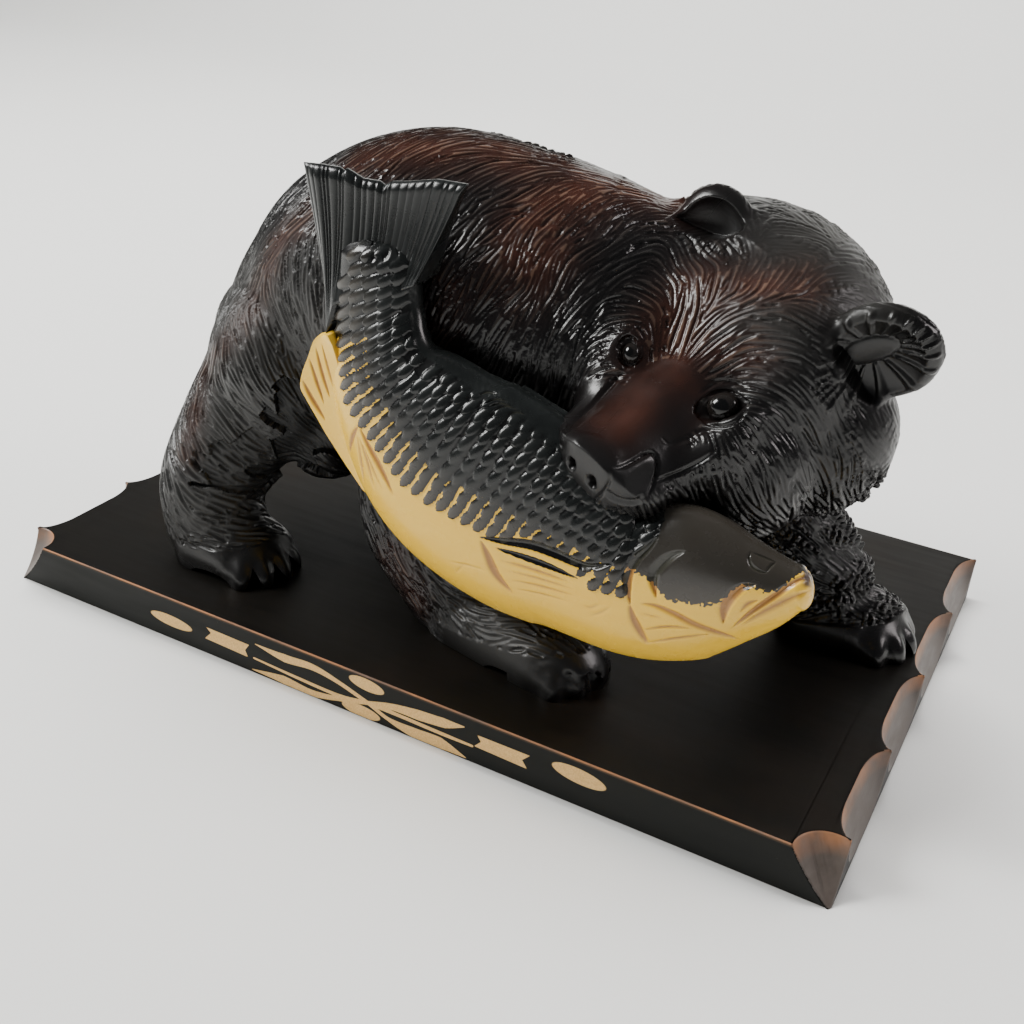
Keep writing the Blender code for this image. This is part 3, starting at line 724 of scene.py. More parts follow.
STROKES_SEEN = (
    # the back, towards the rump
    (690, 208, 655, 198), (650, 195, 612, 185), (600, 180, 562, 170), (560, 160, 522, 152),
    (520, 150, 480, 144), (480, 146, 440, 150), (462, 140, 425, 155), (420, 144, 385, 164),
    (396, 140, 362, 156), (500, 166, 462, 186), (505, 184, 470, 206), (540, 174, 505, 190),
    (640, 205, 612, 215), (612, 195, 585, 208), (575, 185, 548, 205),
    # the flank's long curve
    (600, 205, 578, 232), (628, 214, 606, 236), (560, 200, 532, 222), (542, 212, 520, 240),
    (530, 204, 500, 212), (518, 236, 510, 265), (566, 226, 545, 252), (535, 262, 529, 300),
    (550, 264, 545, 300), (500, 236, 468, 262), (508, 242, 480, 290), (480, 232, 452, 262),
    (500, 264, 480, 302), (528, 286, 505, 312), (592, 238, 562, 262), (575, 246, 556, 288),
    (652, 242, 620, 256), (612, 250, 588, 264), (640, 258, 610, 276), (568, 288, 549, 318),
    (545, 310, 522, 345), (520, 345, 503, 380), (522, 292, 500, 330), (490, 300, 470, 335),
    (462, 290, 445, 320), (500, 332, 486, 365), (540, 342, 532, 372), (470, 340, 455, 360),
    (450, 285, 438, 310),
    # the far side of the neck, behind the snout
    (606, 298, 582, 332), (582, 332, 565, 370), (568, 368, 560, 398), (625, 272, 600, 298),
    (560, 330, 552, 360), (552, 365, 548, 392),
    # the fringe round the face
    (692, 286, 668, 262), (668, 294, 642, 272), (655, 302, 626, 290), (642, 312, 612, 302),
    (634, 326, 603, 320), (622, 340, 597, 341), (618, 356, 594, 356), (622, 372, 602, 382),
    (708, 270, 692, 250),
    # the fan of the forehead
    (662, 352, 660, 314), (668, 352, 677, 312), (674, 360, 700, 312), (682, 362, 724, 308),
    (686, 370, 736, 324), (694, 376, 748, 340), (702, 380, 738, 368), (748, 336, 800, 334),
    (740, 314, 788, 310), (800, 318, 836, 338), (800, 340, 836, 374), (752, 352, 800, 362),
    (800, 366, 832, 400), (770, 372, 804, 396), (806, 396, 828, 420), (744, 388, 790, 402),
    (760, 402, 790, 418), (720, 305, 742, 300), (700, 345, 740, 325), (836, 345, 846, 396),
    (846, 372, 860, 420), (848, 404, 874, 446), (834, 400, 850, 432),
    # the softer second row above it
    (676, 304, 684, 276), (704, 302, 712, 272), (730, 298, 740, 264), (762, 296, 772, 264),
    (796, 292, 822, 266), (820, 290, 858, 282), (840, 262, 876, 268), (730, 262, 720, 240),
    (700, 262, 690, 240), (820, 236, 776, 226), (822, 230, 800, 208), (828, 228, 838, 216),
    (836, 236, 866, 250), (816, 244, 780, 244), (870, 284, 892, 300), (850, 300, 890, 302),
    # the cheek
    (776, 412, 796, 448), (800, 416, 816, 452), (760, 424, 780, 460), (742, 448, 768, 488),
    (716, 456, 736, 498), (782, 462, 790, 500), (804, 460, 822, 500), (826, 424, 842, 456),
    (846, 454, 850, 492), (862, 440, 884, 462), (740, 500, 770, 526), (790, 502, 796, 530),
    (820, 500, 818, 520),
    # the lip
    (712, 466, 722, 494), (694, 470, 702, 498), (674, 478, 684, 502), (656, 486, 664, 510),
    (640, 494, 646, 516),
    # the ear on the head's left
    (808, 304, 850, 322), (830, 302, 886, 310), (820, 316, 852, 334), (862, 302, 905, 316),
    (890, 312, 925, 330), (900, 332, 930, 352), (892, 352, 920, 370), (876, 360, 898, 388),
    (860, 362, 876, 392),
    # the ear on the head's right
    (700, 196, 684, 188), (694, 206, 678, 206), (690, 222, 676, 226), (744, 204, 756, 236),
    # the rump and thigh
    (314, 205, 282, 236), (282, 236, 262, 266), (262, 268, 244, 300), (262, 250, 236, 290),
    (236, 292, 222, 316), (226, 304, 208, 336), (216, 340, 200, 386), (200, 388, 190, 424),
    (300, 246, 297, 288), (298, 290, 306, 330), (320, 254, 320, 294), (282, 262, 286, 300),
    (288, 300, 302, 340), (264, 290, 282, 334), (284, 334, 300, 364), (250, 312, 264, 346),
    (262, 346, 280, 376), (240, 330, 252, 364), (250, 364, 268, 396), (226, 356, 242, 388),
    (242, 388, 262, 414), (214, 384, 234, 412), (234, 408, 254, 428), (206, 404, 222, 424),
    (200, 420, 226, 444), (226, 428, 250, 448), (194, 436, 214, 462), (214, 450, 238, 474),
    (186, 446, 196, 474), (206, 468, 226, 480),
    # round the ankle of the near hind leg
    (178, 478, 192, 502), (184, 476, 216, 496), (192, 502, 232, 514), (232, 514, 276, 514),
    (170, 500, 182, 532), (184, 532, 230, 548), (200, 524, 240, 532), (240, 530, 288, 524),
    (230, 544, 284, 538), (216, 490, 250, 492), (166, 470, 158, 500),
    # the near fore leg
    (366, 500, 386, 556), (388, 556, 418, 606), (424, 596, 446, 636), (440, 600, 470, 640),
    (432, 636, 470, 664), (446, 620, 488, 652), (458, 596, 500, 604), (466, 612, 520, 618),
    (480, 632, 530, 636), (490, 648, 556, 644), (520, 618, 560, 640),
    # the far fore leg
    (818, 552, 846, 570), (832, 566, 862, 588), (850, 584, 876, 604), (796, 604, 850, 604),
    (796, 622, 850, 618), (800, 638, 850, 630), (870, 600, 896, 610),
)

# Strokes on the sides that the photograph doesn't show: a place on the grid and its way.
STROKES_UNSEEN = (
    (-30, 10, 196, -1, 0.1, 0.05), (40, 14, 186, -1, 0.1, 0.1), (-95, 10, 160, -0.9, 0.1, -0.5),
    (-140, 0, 110, -0.35, 0.1, -1), (-140, -10, 70, -0.1, 0, -1), (10, 42, 160, -0.8, 0.3, -0.5),
    (-30, 44, 140, -0.6, 0.2, -0.9), (20, 44, 130, -0.3, 0.2, -1), (-70, 44, 130, -0.7, 0.2, -0.7),
    (-30, 46, 100, -0.2, 0.1, -1), (60, 42, 120, -0.5, 0.3, -0.9), (-90, 46, 96, 0.3, 0.1, -1),
    (-110, 40, 80, -0.2, 0.1, -1), (-60, 66, 30, 0.6, 0.1, -0.8), (-80, 52, 54, 0.3, 0.1, -1),
    (-40, 52, 52, 0.5, 0, -0.9), (90, 48, 96, -0.2, 0.2, -1), (120, 40, 72, 0.2, 0.1, -1),
    (136, 36, 46, 0.4, 0.1, -1), (112, -10, 72, 0.2, 0, -1), (-40, -15, 54, -1, 0, 0),
    (20, -15, 54, -1, 0, 0), (70, -10, 62, -1, 0, -0.2), (130, 30, 140, -0.3, 0.8, -0.4),
    (150, 0, 120, 0.1, 0.5, -0.8), (110, 44, 150, -0.7, 0.5, -0.2), (80, 40, 165, -0.9, 0.3, -0.1),
    (160, -20, 100, 0.1, 0.3, -0.9), (-30, -78, 60, 0.5, -0.1, -1), (-20, -80, 40, 0.4, -0.1, -1),
    (40, -60, 60, 0.5, 0, -0.8), (-100, -40, 30, 0.8, 0.3, -0.4), (-136, -70, 40, -0.1, 0.2, -1),
    (-136, -80, 16, 0.3, 0.1, -1),
)


# In metres: a longer one has missed the surface on its way.
LONGEST_STROKE = 0.06


def comb_table(tree):
    """Places, ways and normals of every stroke of the comb, on the surface."""
    rows = []
    for *root, tip_x, tip_y in STROKES_SEEN:
        start, normal = seen_on(tree, root)
        end, _ = seen_on(tree, (tip_x, tip_y))
        if start is None or end is None or np.linalg.norm(end - start) > LONGEST_STROKE:
            continue
        rows.append(((start + end) / 2, unit(end - start), normal))
    for x, y, z, *way in STROKES_UNSEEN:
        spot, normal, _, _ = tree.find_nearest(Vector(at(x, y, z)))
        rows.append((np.array(spot), unit(way), np.array(normal)))
    return [np.array(column) for column in zip(*rows)]


# How far a stroke of the comb is felt, and how far and how widely the hair strays from it.
COMB_REACH = 5.5
COMB_WANDER = math.radians(11)
COMB_WANDER_SIZE = 14


def combed_ways(points, normals, comb):
    """The hair's way at each point, blended from the comb and laid flat on the surface."""
    places, ways, comb_normals = comb
    blend = np.empty_like(points)
    for start in range(0, len(points), BATCH):
        part = slice(start, start + BATCH)
        gaps = ((points[part, None, :] - places[None, :, :]) ** 2).sum(axis=2)
        weights = 1.0 / (gaps + (COMB_REACH * STEP) ** 2) ** 2
        weights *= np.clip(normals[part] @ comb_normals.T + 0.3, 0.02, 1.0) ** 2
        blend[part] = weights @ ways
    blend -= normals * (blend * normals).sum(axis=1, keepdims=True)
    blend = rows_unit(blend)
    turn = soft_noise(points, COMB_WANDER_SIZE * STEP, 7.3) * COMB_WANDER
    sideways = np.cross(normals, blend)
    return blend * np.cos(turn)[:, None] + sideways * np.sin(turn)[:, None]


def seen_share(points, normals):
    """1 on the side that the photograph shows, 0 on the side turned away."""
    facing = (rows_unit(np.array(CAMERA_PLACE) - points) * normals).sum(axis=1)
    return ramp(facing, -0.55, -0.30)


# The small strokes on the far side, and what the seen side and the face take or add.
SPACING, SPACING_SEEN, SPACING_FACE = 3.5, 1.25, 0.5
DEPTH, DEPTH_SEEN, DEPTH_FACE = 0.65, 0.22, 0.17
LENGTH, LENGTH_FACE = 17, 9


def stroke_sizes(points, normals):
    """Spacing, depth and length of the small strokes at each point, in grid steps."""
    head, grid = in_head(points), in_grid(points)
    seen = seen_share(points, normals)
    on_face = ramp(head[:, 0], -112, -92) * ramp(grid[:, 2], 52, 64) * ramp(grid[:, 1], -2, -14)
    spacing = SPACING - SPACING_SEEN * seen - SPACING_FACE * on_face * seen
    depth = DEPTH + DEPTH_SEEN * seen - DEPTH_FACE * on_face * seen
    return spacing, depth, LENGTH + LENGTH_FACE * on_face


# The mouth's line in the photograph: the lip's fringe hangs below it.
MOUTH_LINE = (
    (552, 486), (562, 494), (575, 502), (590, 506), (612, 507), (636, 505), (650, 492), (676, 476),
    (700, 464), (716, 452), (748, 436),
)


# Smooth zones by centre and radii on the head: the muzzle, its bridge, the eyes, a cheek facet.
SMOOTH_ZONES = (
    ((-14, 0, -5), (30, 34, 15)), ((-40, 0, 4), (22, 17, 16)), ((-43, 17, 15), (9, 11, 8)),
    ((-37, -22, 13), (7, 8, 7)), ((-40, 24, 0), (14, 11, 10)),
)


def fur_share(points):
    """1 where the fur is cut, 0 on the smooth muzzle, the toes, the soles and in the ears."""
    head = in_head(points)
    share = np.ones(len(points))
    for centre, radii in SMOOTH_ZONES:
        gap = np.sqrt((((head - centre) / radii) ** 2).sum(axis=1))
        share = np.minimum(share, ramp(gap, 0.92, 1.04))
    line = np.array(MOUTH_LINE, float)
    spots = photo_spots(points)
    under = spots[:, 1] - np.interp(spots[:, 0], line[:, 0], line[:, 1])
    near = (head[:, 0] > -62) & (np.abs(head[:, 1]) < 42) & (head[:, 2] < 6) & (spots[:, 0] > 552)
    share = np.where(near, np.maximum(share, ramp(under, -1, 3)), share)
    for side in (-1, 1):
        place, radius, _, _ = EARS[side]
        facing, across, upright = ear_axes(side)
        offset = points - on_head(*place)
        local = np.stack((offset @ facing, offset @ across, offset @ upright), axis=1) / STEP
        flat = np.hypot(local[:, 1], local[:, 2] / 1.08) / radius
        bowl = (local[:, 0] > -1) & (local[:, 0] < 12)
        share = np.where(bowl, np.minimum(share, ramp(flat, 0.88, 0.98)), share)
    return np.minimum(share, paw_share(points))


def ear_relief(points):
    """The low mound in the near ear and the ridges that fan out from it to the rim."""
    place, radius, _, _ = EARS[1]
    facing, across, upright = ear_axes(1)
    offset = (points - on_head(*place)) / STEP
    ahead, aside, above = offset @ facing, offset @ across, offset @ upright
    inside = ramp(ahead, -2, 0) * (1 - ramp(np.hypot(aside, above / 1.08) / radius, 0.84, 0.96))
    aside, above = (aside + 3) / EAR_MOUND[0], (above + 3) / EAR_MOUND[1]
    gap = np.hypot(aside, above)
    mound = np.sqrt(np.clip(1 - gap ** 2, 0.0, None)) * inside
    ridge = np.clip(np.cos(EAR_RIDGES * np.arctan2(aside, above)) - 0.3, 0.0, None) / 0.7
    ridge = ridge * ramp(gap, 1.0, 1.2) * inside
    return EAR_MOUND[2] * mound + 0.9 * ridge, ridge


# Parts that the knife left nearly even, on the head's back and the ears' outsides, and satin parts
# with a lighter grey painted sheen, a painted reflection: spots with their reach.
CALM_SEEN = (
    (800, 215, 85), (868, 270, 75), (905, 345, 75), (722, 205, 45), (898, 432, 50), (655, 182, 42),
    (600, 165, 35),
)
SATIN_SHEEN_SEEN = (
    (826, 236, 70), (866, 280, 45), (780, 300, 50), (250, 320, 80), (225, 430, 60), (205, 510, 45),
    (500, 636, 55),
)


def spot_share(points, spots, share_at):
    """The largest share that any of the spots gives each point."""
    seen = photo_spots(points)
    return reduce(np.maximum, (
        share_at(np.linalg.norm(seen - np.array(middle), axis=1), reach)
        for *middle, reach in spots
    ))


def calm_share(points):
    return spot_share(points, CALM_SEEN, lambda gap, reach: 1 - ramp(gap, reach * 0.6, reach))


# Where the satin lacquer gets a lighter grey painted sheen, standing in for a broad reflection.
def satin_sheen_share(points):
    return spot_share(points, SATIN_SHEEN_SEEN, lambda gap, reach: np.exp(-((gap / reach) ** 2)))


def paw_share(points):
    """0 on the polished toes and soles of the paws."""
    grid = in_grid(points)
    share = np.ones(len(points))
    for _, hub, facing in PAWS.values():
        ahead = np.array([math.cos(facing), math.sin(facing)])
        along = (grid[:, :2] - hub) @ ahead
        close = np.linalg.norm(grid[:, :2] - hub, axis=1) < 48
        band = 9.5 + 0.16 * np.clip(along + 30, 0, 60)
        share = np.where(close, np.minimum(share, ramp(grid[:, 2] - band, -0.8, 0.8)), share)
    return share


# The share of a stroke over which each end tapers.
STROKE_TAPER = 0.22
# The columns of a table of strokes, one row for each sample along each stroke.
PLACE, WAY, NORMAL, HALF, SHARE, CHANCE, ROOT = (
    slice(0, 3), slice(3, 6), slice(6, 9), 9, 10, 11, slice(12, 15)
)


def beside_strokes(points, samples):
    """The row of the stroke nearest to each point, and the point's place along and across it."""
    tree = tree_of(samples[:, PLACE])
    nearest = np.fromiter((tree.find(point)[1] for point in points), int, len(points))
    row = samples[nearest]
    offset = points - row[:, PLACE]
    along = (offset * row[:, WAY]).sum(axis=1, keepdims=True)
    above = (offset * row[:, NORMAL]).sum(axis=1, keepdims=True)
    across = np.linalg.norm(offset - along * row[:, WAY] - above * row[:, NORMAL], axis=1)
    return row, along[:, 0], across


def tuft_rise(points, tufts):
    """How high each point stands on its tuft, up to its pointed tip, and the tuft's root."""
    row, along, across = beside_strokes(points, tufts)
    half = row[:, HALF] * 1.2 * (1 - 0.8 * ramp(row[:, SHARE], 0.5, 1.0))
    body = np.clip(1 - (across / half) ** 2, 0.0, 1.0) ** 0.6
    past = np.clip(1 - np.clip(along, 0, None) / row[:, HALF] * 1.8, 0.0, 1.0)
    rise = body * (0.1 + 0.9 * ramp(row[:, SHARE], 0.0, 0.8)) * past
    return rise * (0.6 + 0.6 * row[:, CHANCE]), row[:, ROOT]


# Parts of the near hind leg that lie deeper, under the ends of the tufts above them: an outline
# in the photograph, the depth in grid steps and how much painted shade darkens the part.
DEEPER_SEEN = (
    ((
        (306, 340), (312, 352), (298, 372), (277, 371), (263, 384), (268, 411), (254, 430),
        (262, 449), (243, 465), (244, 483), (262, 492), (274, 480), (300, 464), (332, 454),
        (350, 450), (350, 350), (330, 336),
    ), 3.2, 1.0),
    ((
        (254, 430), (238, 424), (224, 418), (205, 424), (188, 438), (183, 465), (216, 475),
        (243, 484), (243, 465), (262, 449),
    ), 1.4, 0.25),
    ((
        (182, 472), (216, 478), (244, 486), (262, 492), (256, 498), (230, 496), (200, 490),
        (180, 484),
    ), 2.4, 0.8),
)


def deeper_share(points, normals, roots):
    """Depth in grid steps and painted shade of the parts that lie deeper, by the tufts' roots."""
    grid = in_grid(points)
    near = (grid[:, 0] < 10) & (seen_share(points, normals) > 0.2)
    root_spots = photo_spots(roots)
    own_spots = photo_spots(points)
    spots = root_spots * 0.55 + own_spots * 0.45
    depth, painted_shade = np.zeros(len(points)), np.zeros(len(points))
    for outline, deep, shade_strength in DEEPER_SEEN:
        inside = (inside_outline(spots, outline) > 0.5) & near
        depth[inside] = np.maximum(depth[inside], deep)
        painted_shade[inside] = np.maximum(painted_shade[inside], shade_strength)
    return depth, painted_shade


# As shares of the spacing: the room round a stroke's seed, that beside it, and its samples' gap.
SEED_ROOM, SIDE_ROOM, SAMPLE_GAP = 0.86, 0.55, 0.45
LENGTH_SPREAD = (0.55, 1.3)
FEWEST_SAMPLES = 4


class Taken:
    """Places that strokes have taken, sorted into cells."""

    def __init__(self, size):
        self.size = size
        self.cells = {}

    def cell(self, place):
        return tuple(int(value // self.size) for value in place)

    def take(self, place, stroke):
        self.cells.setdefault(self.cell(place), []).append((tuple(place), stroke))

    def crowded(self, place, room, own):
        """Whether any stroke but its own lies within the room round a place."""
        reach = int(room / self.size) + 1
        spans = (range(base - reach, base + reach + 1) for base in self.cell(place))
        for key in product(*spans):
            for other, stroke in self.cells.get(key, ()):
                if stroke != own and (
                    (other[0] - place[0]) ** 2 + (other[1] - place[1]) ** 2
                    + (other[2] - place[2]) ** 2
                ) < room * room:
                    return True
        return False


def laid_strokes(points, normals, ways, allowed, spacing, length, stray, seed):
    """Evenly spaced strokes that follow the ways over the surface, each straying a little.

    Returns a row for every sample of every stroke.
    """
    rng = np.random.default_rng(seed)
    sideways = np.cross(normals, ways)
    tree = tree_of(points)
    taken = Taken(float(spacing.min()) * STEP)
    samples = []
    stroke = 0
    for seed_index in rng.permutation(len(points)):
        if not allowed[seed_index]:
            continue
        room = spacing[seed_index] * STEP
        if taken.crowded(points[seed_index], room * SEED_ROOM, -1):
            continue
        reach = length[seed_index] * STEP * rng.uniform(*LENGTH_SPREAD) / 2
        turn = float(np.clip(rng.normal(0.0, stray), -2 * stray, 2 * stray))
        ahead, aside = math.cos(turn), math.sin(turn)
        step = room * SAMPLE_GAP
        run = [(points[seed_index], seed_index, 0.0)]
        for sense in (1.0, -1.0):
            place, spot, gone = *run[0][:2], 0.0
            while gone < reach:
                way = ways[spot] * ahead + sideways[spot] * aside
                place = place + way * (sense * step)
                _, spot, _ = tree.find(place)
                if not allowed[spot]:
                    break
                place = place - normals[spot] * ((place - points[spot]) @ normals[spot])
                if taken.crowded(place, room * SIDE_ROOM, stroke):
                    break
                gone += step
                run.append((place, spot, sense * gone))
        if len(run) < FEWEST_SAMPLES:
            run = run[:1]
        else:
            first, last = min(row[2] for row in run), max(row[2] for row in run)
            chance = rng.uniform()
            root = min(run, key=lambda row: row[2])[0]
            for place, spot, gone in run:
                way = ways[spot] * ahead + sideways[spot] * aside
                share = (gone - first) / max(last - first, 1e-9)
                samples.append((*place, *way, *normals[spot], room / 2, share, chance, *root))
        for place, _, _ in run:
            taken.take(place, stroke)
        stroke += 1
    return np.array(samples)


def stroke_cut(points, strokes):
    """How deep in its stroke each point lies, how near a crest it is, and the stroke's chance."""
    row, along, across = beside_strokes(points, strokes)
    share = np.maximum(across / row[:, HALF], np.abs(along) / row[:, HALF] * 0.8)
    ends = np.minimum(row[:, SHARE], 1 - row[:, SHARE]) / STROKE_TAPER
    ends = np.clip(ends, 0.0, 1.0) ** 0.6
    hollow = np.clip(1 - share ** 2, 0.0, 1.0) * (0.25 + 0.75 * ends)
    return hollow, np.clip(share, 0.0, 1.4), row[:, CHANCE]


# The bear


def rough_bear(voxel, smoothings):
    """The joined forms as one skin, in a temporary object."""
    forms = body_forms() + leg_forms() + head_forms()
    rough = add_object("rough_bear", join_forms("rough_bear", forms))
    remesh = rough.modifiers.new("roughing", "REMESH")
    remesh.mode = "VOXEL"
    remesh.voxel_size = voxel * STEP
    smooth = rough.modifiers.new("smoothing", "SMOOTH")
    smooth.factor = 0.5
    smooth.iterations = smoothings
    baked(rough)
    return rough


# Cuts on the head: spots, width and depth in grid steps.
FACE_CUTS = (
    # along the far side of the muzzle
    (((628, 366), (600, 396), (566, 428)), 3.4, 1.4),
    # the line over the nose's wing
    (((612, 468), (622, 467), (636, 459), (650, 452), (657, 460), (656, 476), (646, 498)), 2.0, 1.3),
    # the nose's pad
    (((611, 469), (609, 482), (602, 494), (590, 503)), 2.0, 1.0),
    (((603, 488), (612, 497), (624, 502), (636, 502), (647, 497)), 4.2, 1.4),
    # the lids of the near eye, and the crease over the upper one
    (((695, 414), (703, 400), (716, 392), (733, 392), (748, 403)), 2.2, 1.2),
    (((695, 414), (706, 422), (722, 426), (738, 420), (748, 405)), 2.2, 1.1),
    (((700, 395), (714, 384), (732, 381), (750, 390)), 2.2, 0.8),
    # the lids of the far eye
    (((616, 352), (621, 342), (631, 338), (641, 343)), 2.0, 1.0),
    (((616, 352), (621, 361), (631, 365), (641, 358), (642, 346)), 2.0, 1.0),
    # the hollow under the eye
    (((664, 448), (684, 440), (706, 430), (738, 432)), 3.0, 0.6),
    # a hairline crack
    (((661, 437), (684, 457)), 0.9, 0.35),
    # broad bright cuts on the flank
    (((498, 199), (520, 193)), 5, 0.8), (((506, 204), (534, 214)), 5, 0.8),
    (((514, 212), (530, 218)), 4, 0.7), (((538, 226), (556, 221)), 5, 0.8),
    (((543, 239), (568, 232)), 5, 0.8), (((626, 251), (657, 239)), 5, 0.9),
    (((453, 262), (487, 249)), 6, 0.9), (((548, 322), (572, 288)), 5, 0.9),
    (((588, 330), (602, 298)), 5, 0.9),
    # the corner of the mouth
    (((652, 482), (676, 474), (700, 462), (716, 450)), 2.6, 1.0),
)


# The muzzle on the head: its bridge and its two sides, each by a place, its outward way and how
# round it is across.
MUZZLE_PLANES = (
    ((0, 0, 0.2), (0.36, 0.0, 0.93), 0.010), ((0, 10, 0), (0.20, 0.70, 0.68), 0.004),
    ((0, -10, 0), (0.20, -0.70, 0.68), 0.004),
)
NOSE_FRONT = 2.0
NOSE_HALF_WIDTH = 5.5
NOSE_ROUNDNESS, CHIN_ROUNDNESS, BROW_ROUNDNESS = 0.036, 0.03, 0.012
NOSE_SLOPE = 0.07


def shave_muzzle(points):
    """Move what stands beyond the muzzle's bridge, sides and front down to them."""
    head = in_head(points)
    near = (1 - ramp(np.abs(head[:, 1]), 20, 28)) * (1 - ramp(head[:, 0], 12, 20))
    for place, way, roundness in MUZZLE_PLANES:
        way = unit(way)
        from_middle = np.clip(head[:, 1] - place[1] * 1.4, -20, 20)
        beyond = (head - place) @ way + roundness * from_middle ** 2
        hold = near * ramp(head[:, 0], -66, -34) * ramp(head[:, 2], -22, -14)
        head = head - (np.clip(beyond, 0.0, None) * hold)[:, None] * way
    wide = np.clip(np.abs(head[:, 1]) - NOSE_HALF_WIDTH, 0.0, None)
    low = np.clip(-head[:, 2] - 17, 0.0, None)
    front = NOSE_FRONT + NOSE_SLOPE * head[:, 2]
    front = front - NOSE_ROUNDNESS * wide ** 2 - CHIN_ROUNDNESS * low ** 2
    front -= BROW_ROUNDNESS * np.clip(head[:, 2] + 6, -12, 6) ** 2
    over = np.clip(head[:, 0] - front, 0.0, None) * near * ramp(head[:, 2], -32, -22)
    head[:, 0] -= over
    return on_head(0, 0, 0) + (head @ HEAD_FRAME) * STEP


# The share of the way to its neighbours' middle that a point moves each time.
EASING = 0.7


def eased(mesh, points, share, times):
    """The points smoothed along the mesh's edges, by their share."""
    first, last = read(mesh.edges, "vertices", 2, int).T
    kept = (share[first] > 0) | (share[last] > 0)
    first, last = first[kept], last[kept]
    count = np.bincount(first, minlength=len(points)) + np.bincount(last, minlength=len(points))
    count = np.maximum(count, 1)
    points = points.copy()
    for _ in range(times):
        for axis in range(3):
            column = points[:, axis]
            total = np.bincount(first, column[last], len(points))
            total += np.bincount(last, column[first], len(points))
            middle = np.where(share > 0, total / count, column)
            points[:, axis] = column + (middle - column) * share * EASING
    return points


# How often the bridge and the nose are eased, for roughing cells of one grid step.
BRIDGE_EASING, NOSE_EASING = 150, 3


def smooth_face(mesh, points, voxel):
    """Ease the bridge into the brow and the planes round the eyes, and soften the nose."""
    head = in_head(points)
    bridge = ramp(head[:, 0], -14, -24) * ramp(head[:, 0], -74, -62) * ramp(head[:, 2], -22, -8)
    bridge *= 1 - ramp(np.abs(head[:, 1]), 30, 40)
    points = eased(mesh, points, np.clip(bridge, 0.0, 1.0), int(BRIDGE_EASING / voxel ** 2))
    nose = ramp(head[:, 0], -24, -14) * (1 - ramp(np.abs(head[:, 1]), 26, 32))
    nose = nose * ramp(head[:, 2], -36, -30)
    return eased(mesh, points, nose, int(NOSE_EASING / voxel ** 2))


def eye_axes(side):
    """Facing, long and upright axes of an eye."""
    facing = unit(HEAD_FORWARD * 0.86 + HEAD_LEFT * side * 0.11 + HEAD_UP * 0.50)
    long_way = unit(-HEAD_FORWARD * 0.43 + HEAD_LEFT * side * 0.69 + HEAD_UP * 0.59)
    upright = unit(np.cross(facing, long_way))
    return facing, np.cross(upright, facing), upright


# Cutters in grid steps, with how far they stand out or apart; the bowls as shares of the ear.
SOCKET_RADII, SOCKET_LIFT = (4.6, 9.6, 5.6), 0.6
NOSTRIL_RADII, NOSTRIL_GAP, NOSTRIL_SHIFT = (6, 2.0, 2.8), 5.2, 1.4
BOWL_SHARES = (0.85, 0.86, 0.84)


def carve_face(points):
    """The eye sockets, the nostrils and the bowls of the ears."""
    for side in (-1, 1):
        axes = eye_axes(side)
        place = on_head(*EYE_PLACES[side]) + axes[0] * SOCKET_LIFT * STEP
        radii = np.array(SOCKET_RADII) * EYE_SIZES[side] * STEP
        points = scoop_out(points, place, axes, radii, -axes[0])
        place = on_head(2, NOSTRIL_GAP * side - NOSTRIL_SHIFT, -11)
        radii = np.array(NOSTRIL_RADII) * STEP
        points = scoop_out(points, place, HEAD_FRAME, radii, -HEAD_FORWARD)
        axes = ear_axes(side)
        place, radius, _, _ = EARS[side]
        place = on_head(*place) + axes[0] * EAR_THICKNESS * STEP
        radii = np.array((EAR_THICKNESS, radius, radius)) * BOWL_SHARES * STEP
        points = scoop_out(points, place, axes, radii, -axes[0])
    return points


def face_depth(points, tree):
    return reduce(np.maximum, (
        groove_depth(points, seen_line(tree, spots), width, deep)
        for spots, width, deep in FACE_CUTS
    ))


# Where the reddish brown shows through: spots, reach in grid steps and strength.
STAIN_SEEN = (
    (((662, 198), (630, 190), (590, 180), (530, 160), (470, 148), (410, 145), (370, 158)), 15, 0.9),
    (((600, 185), (560, 200), (530, 235), (520, 270)), 15, 1.0),
    (((560, 210), (545, 250)), 12, 1.0), (((314, 210), (280, 240), (254, 300), (240, 320)), 8, 1.0),
    (((232, 330), (205, 370), (192, 420), (186, 450)), 7, 0.7),
    (((618, 420), (650, 392), (668, 376)), 10, 1.0),
    (((668, 372), (690, 330), (710, 300)), 16, 1.0),
    (((690, 290), (740, 290), (800, 284)), 10, 0.85), (((720, 350), (752, 348)), 9, 0.8),
    (((450, 300), (440, 340)), 10, 0.5), (((395, 560), (412, 596)), 9, 0.7),
)


def stain_share(points, tree):
    share = np.zeros(len(points))
    for spots, reach, strength in STAIN_SEEN:
        line = seen_line(tree, spots)
        if len(line) < 2:
            continue
        gap, _ = from_line(points, line, 2.2 * reach * STEP)
        share = np.maximum(share, strength * np.exp(-((gap / STEP / reach) ** 2)))
    return share


# The size of the roughing's cells in grid steps and how often they are smoothed.
VOXEL, SMOOTHINGS = 1.16, 22
LOCK_LENGTH = 3.4
LOCK_STRAY, STROKE_STRAY = math.radians(12), math.radians(7)
LOCK_SEED, STROKE_SEED = 3, 11
# How much of the tufts and of the strokes is left out where the knife was calm.
CALM_TUFTS, CALM_STROKES = 0.85, 0.65
# How much of their height the tufts are sunk into the skin.
TUFT_SINK = 0.45
# How much painted shade darkens the nose's front.
NOSE_SHADE = 0.25


def carve_bear(settings):
    """The finished carving as one mesh, with the layers that its material reads."""
    voxel, smoothings = ((VOXEL, SMOOTHINGS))
    rough = rough_bear(voxel, smoothings)
    mesh = rough.data
    write_points(mesh, carve_face(smooth_face(mesh, shave_muzzle(read_points(mesh)), voxel)))
    tree = BVHTree.FromObject(rough, bpy.context.evaluated_depsgraph_get())
    locks, strokes = lay_fur(mesh, tree, settings)
    refine_seen(mesh)
    cut_fur(mesh, tree, locks, strokes, settings)
    keep_normals(mesh)
    return rough


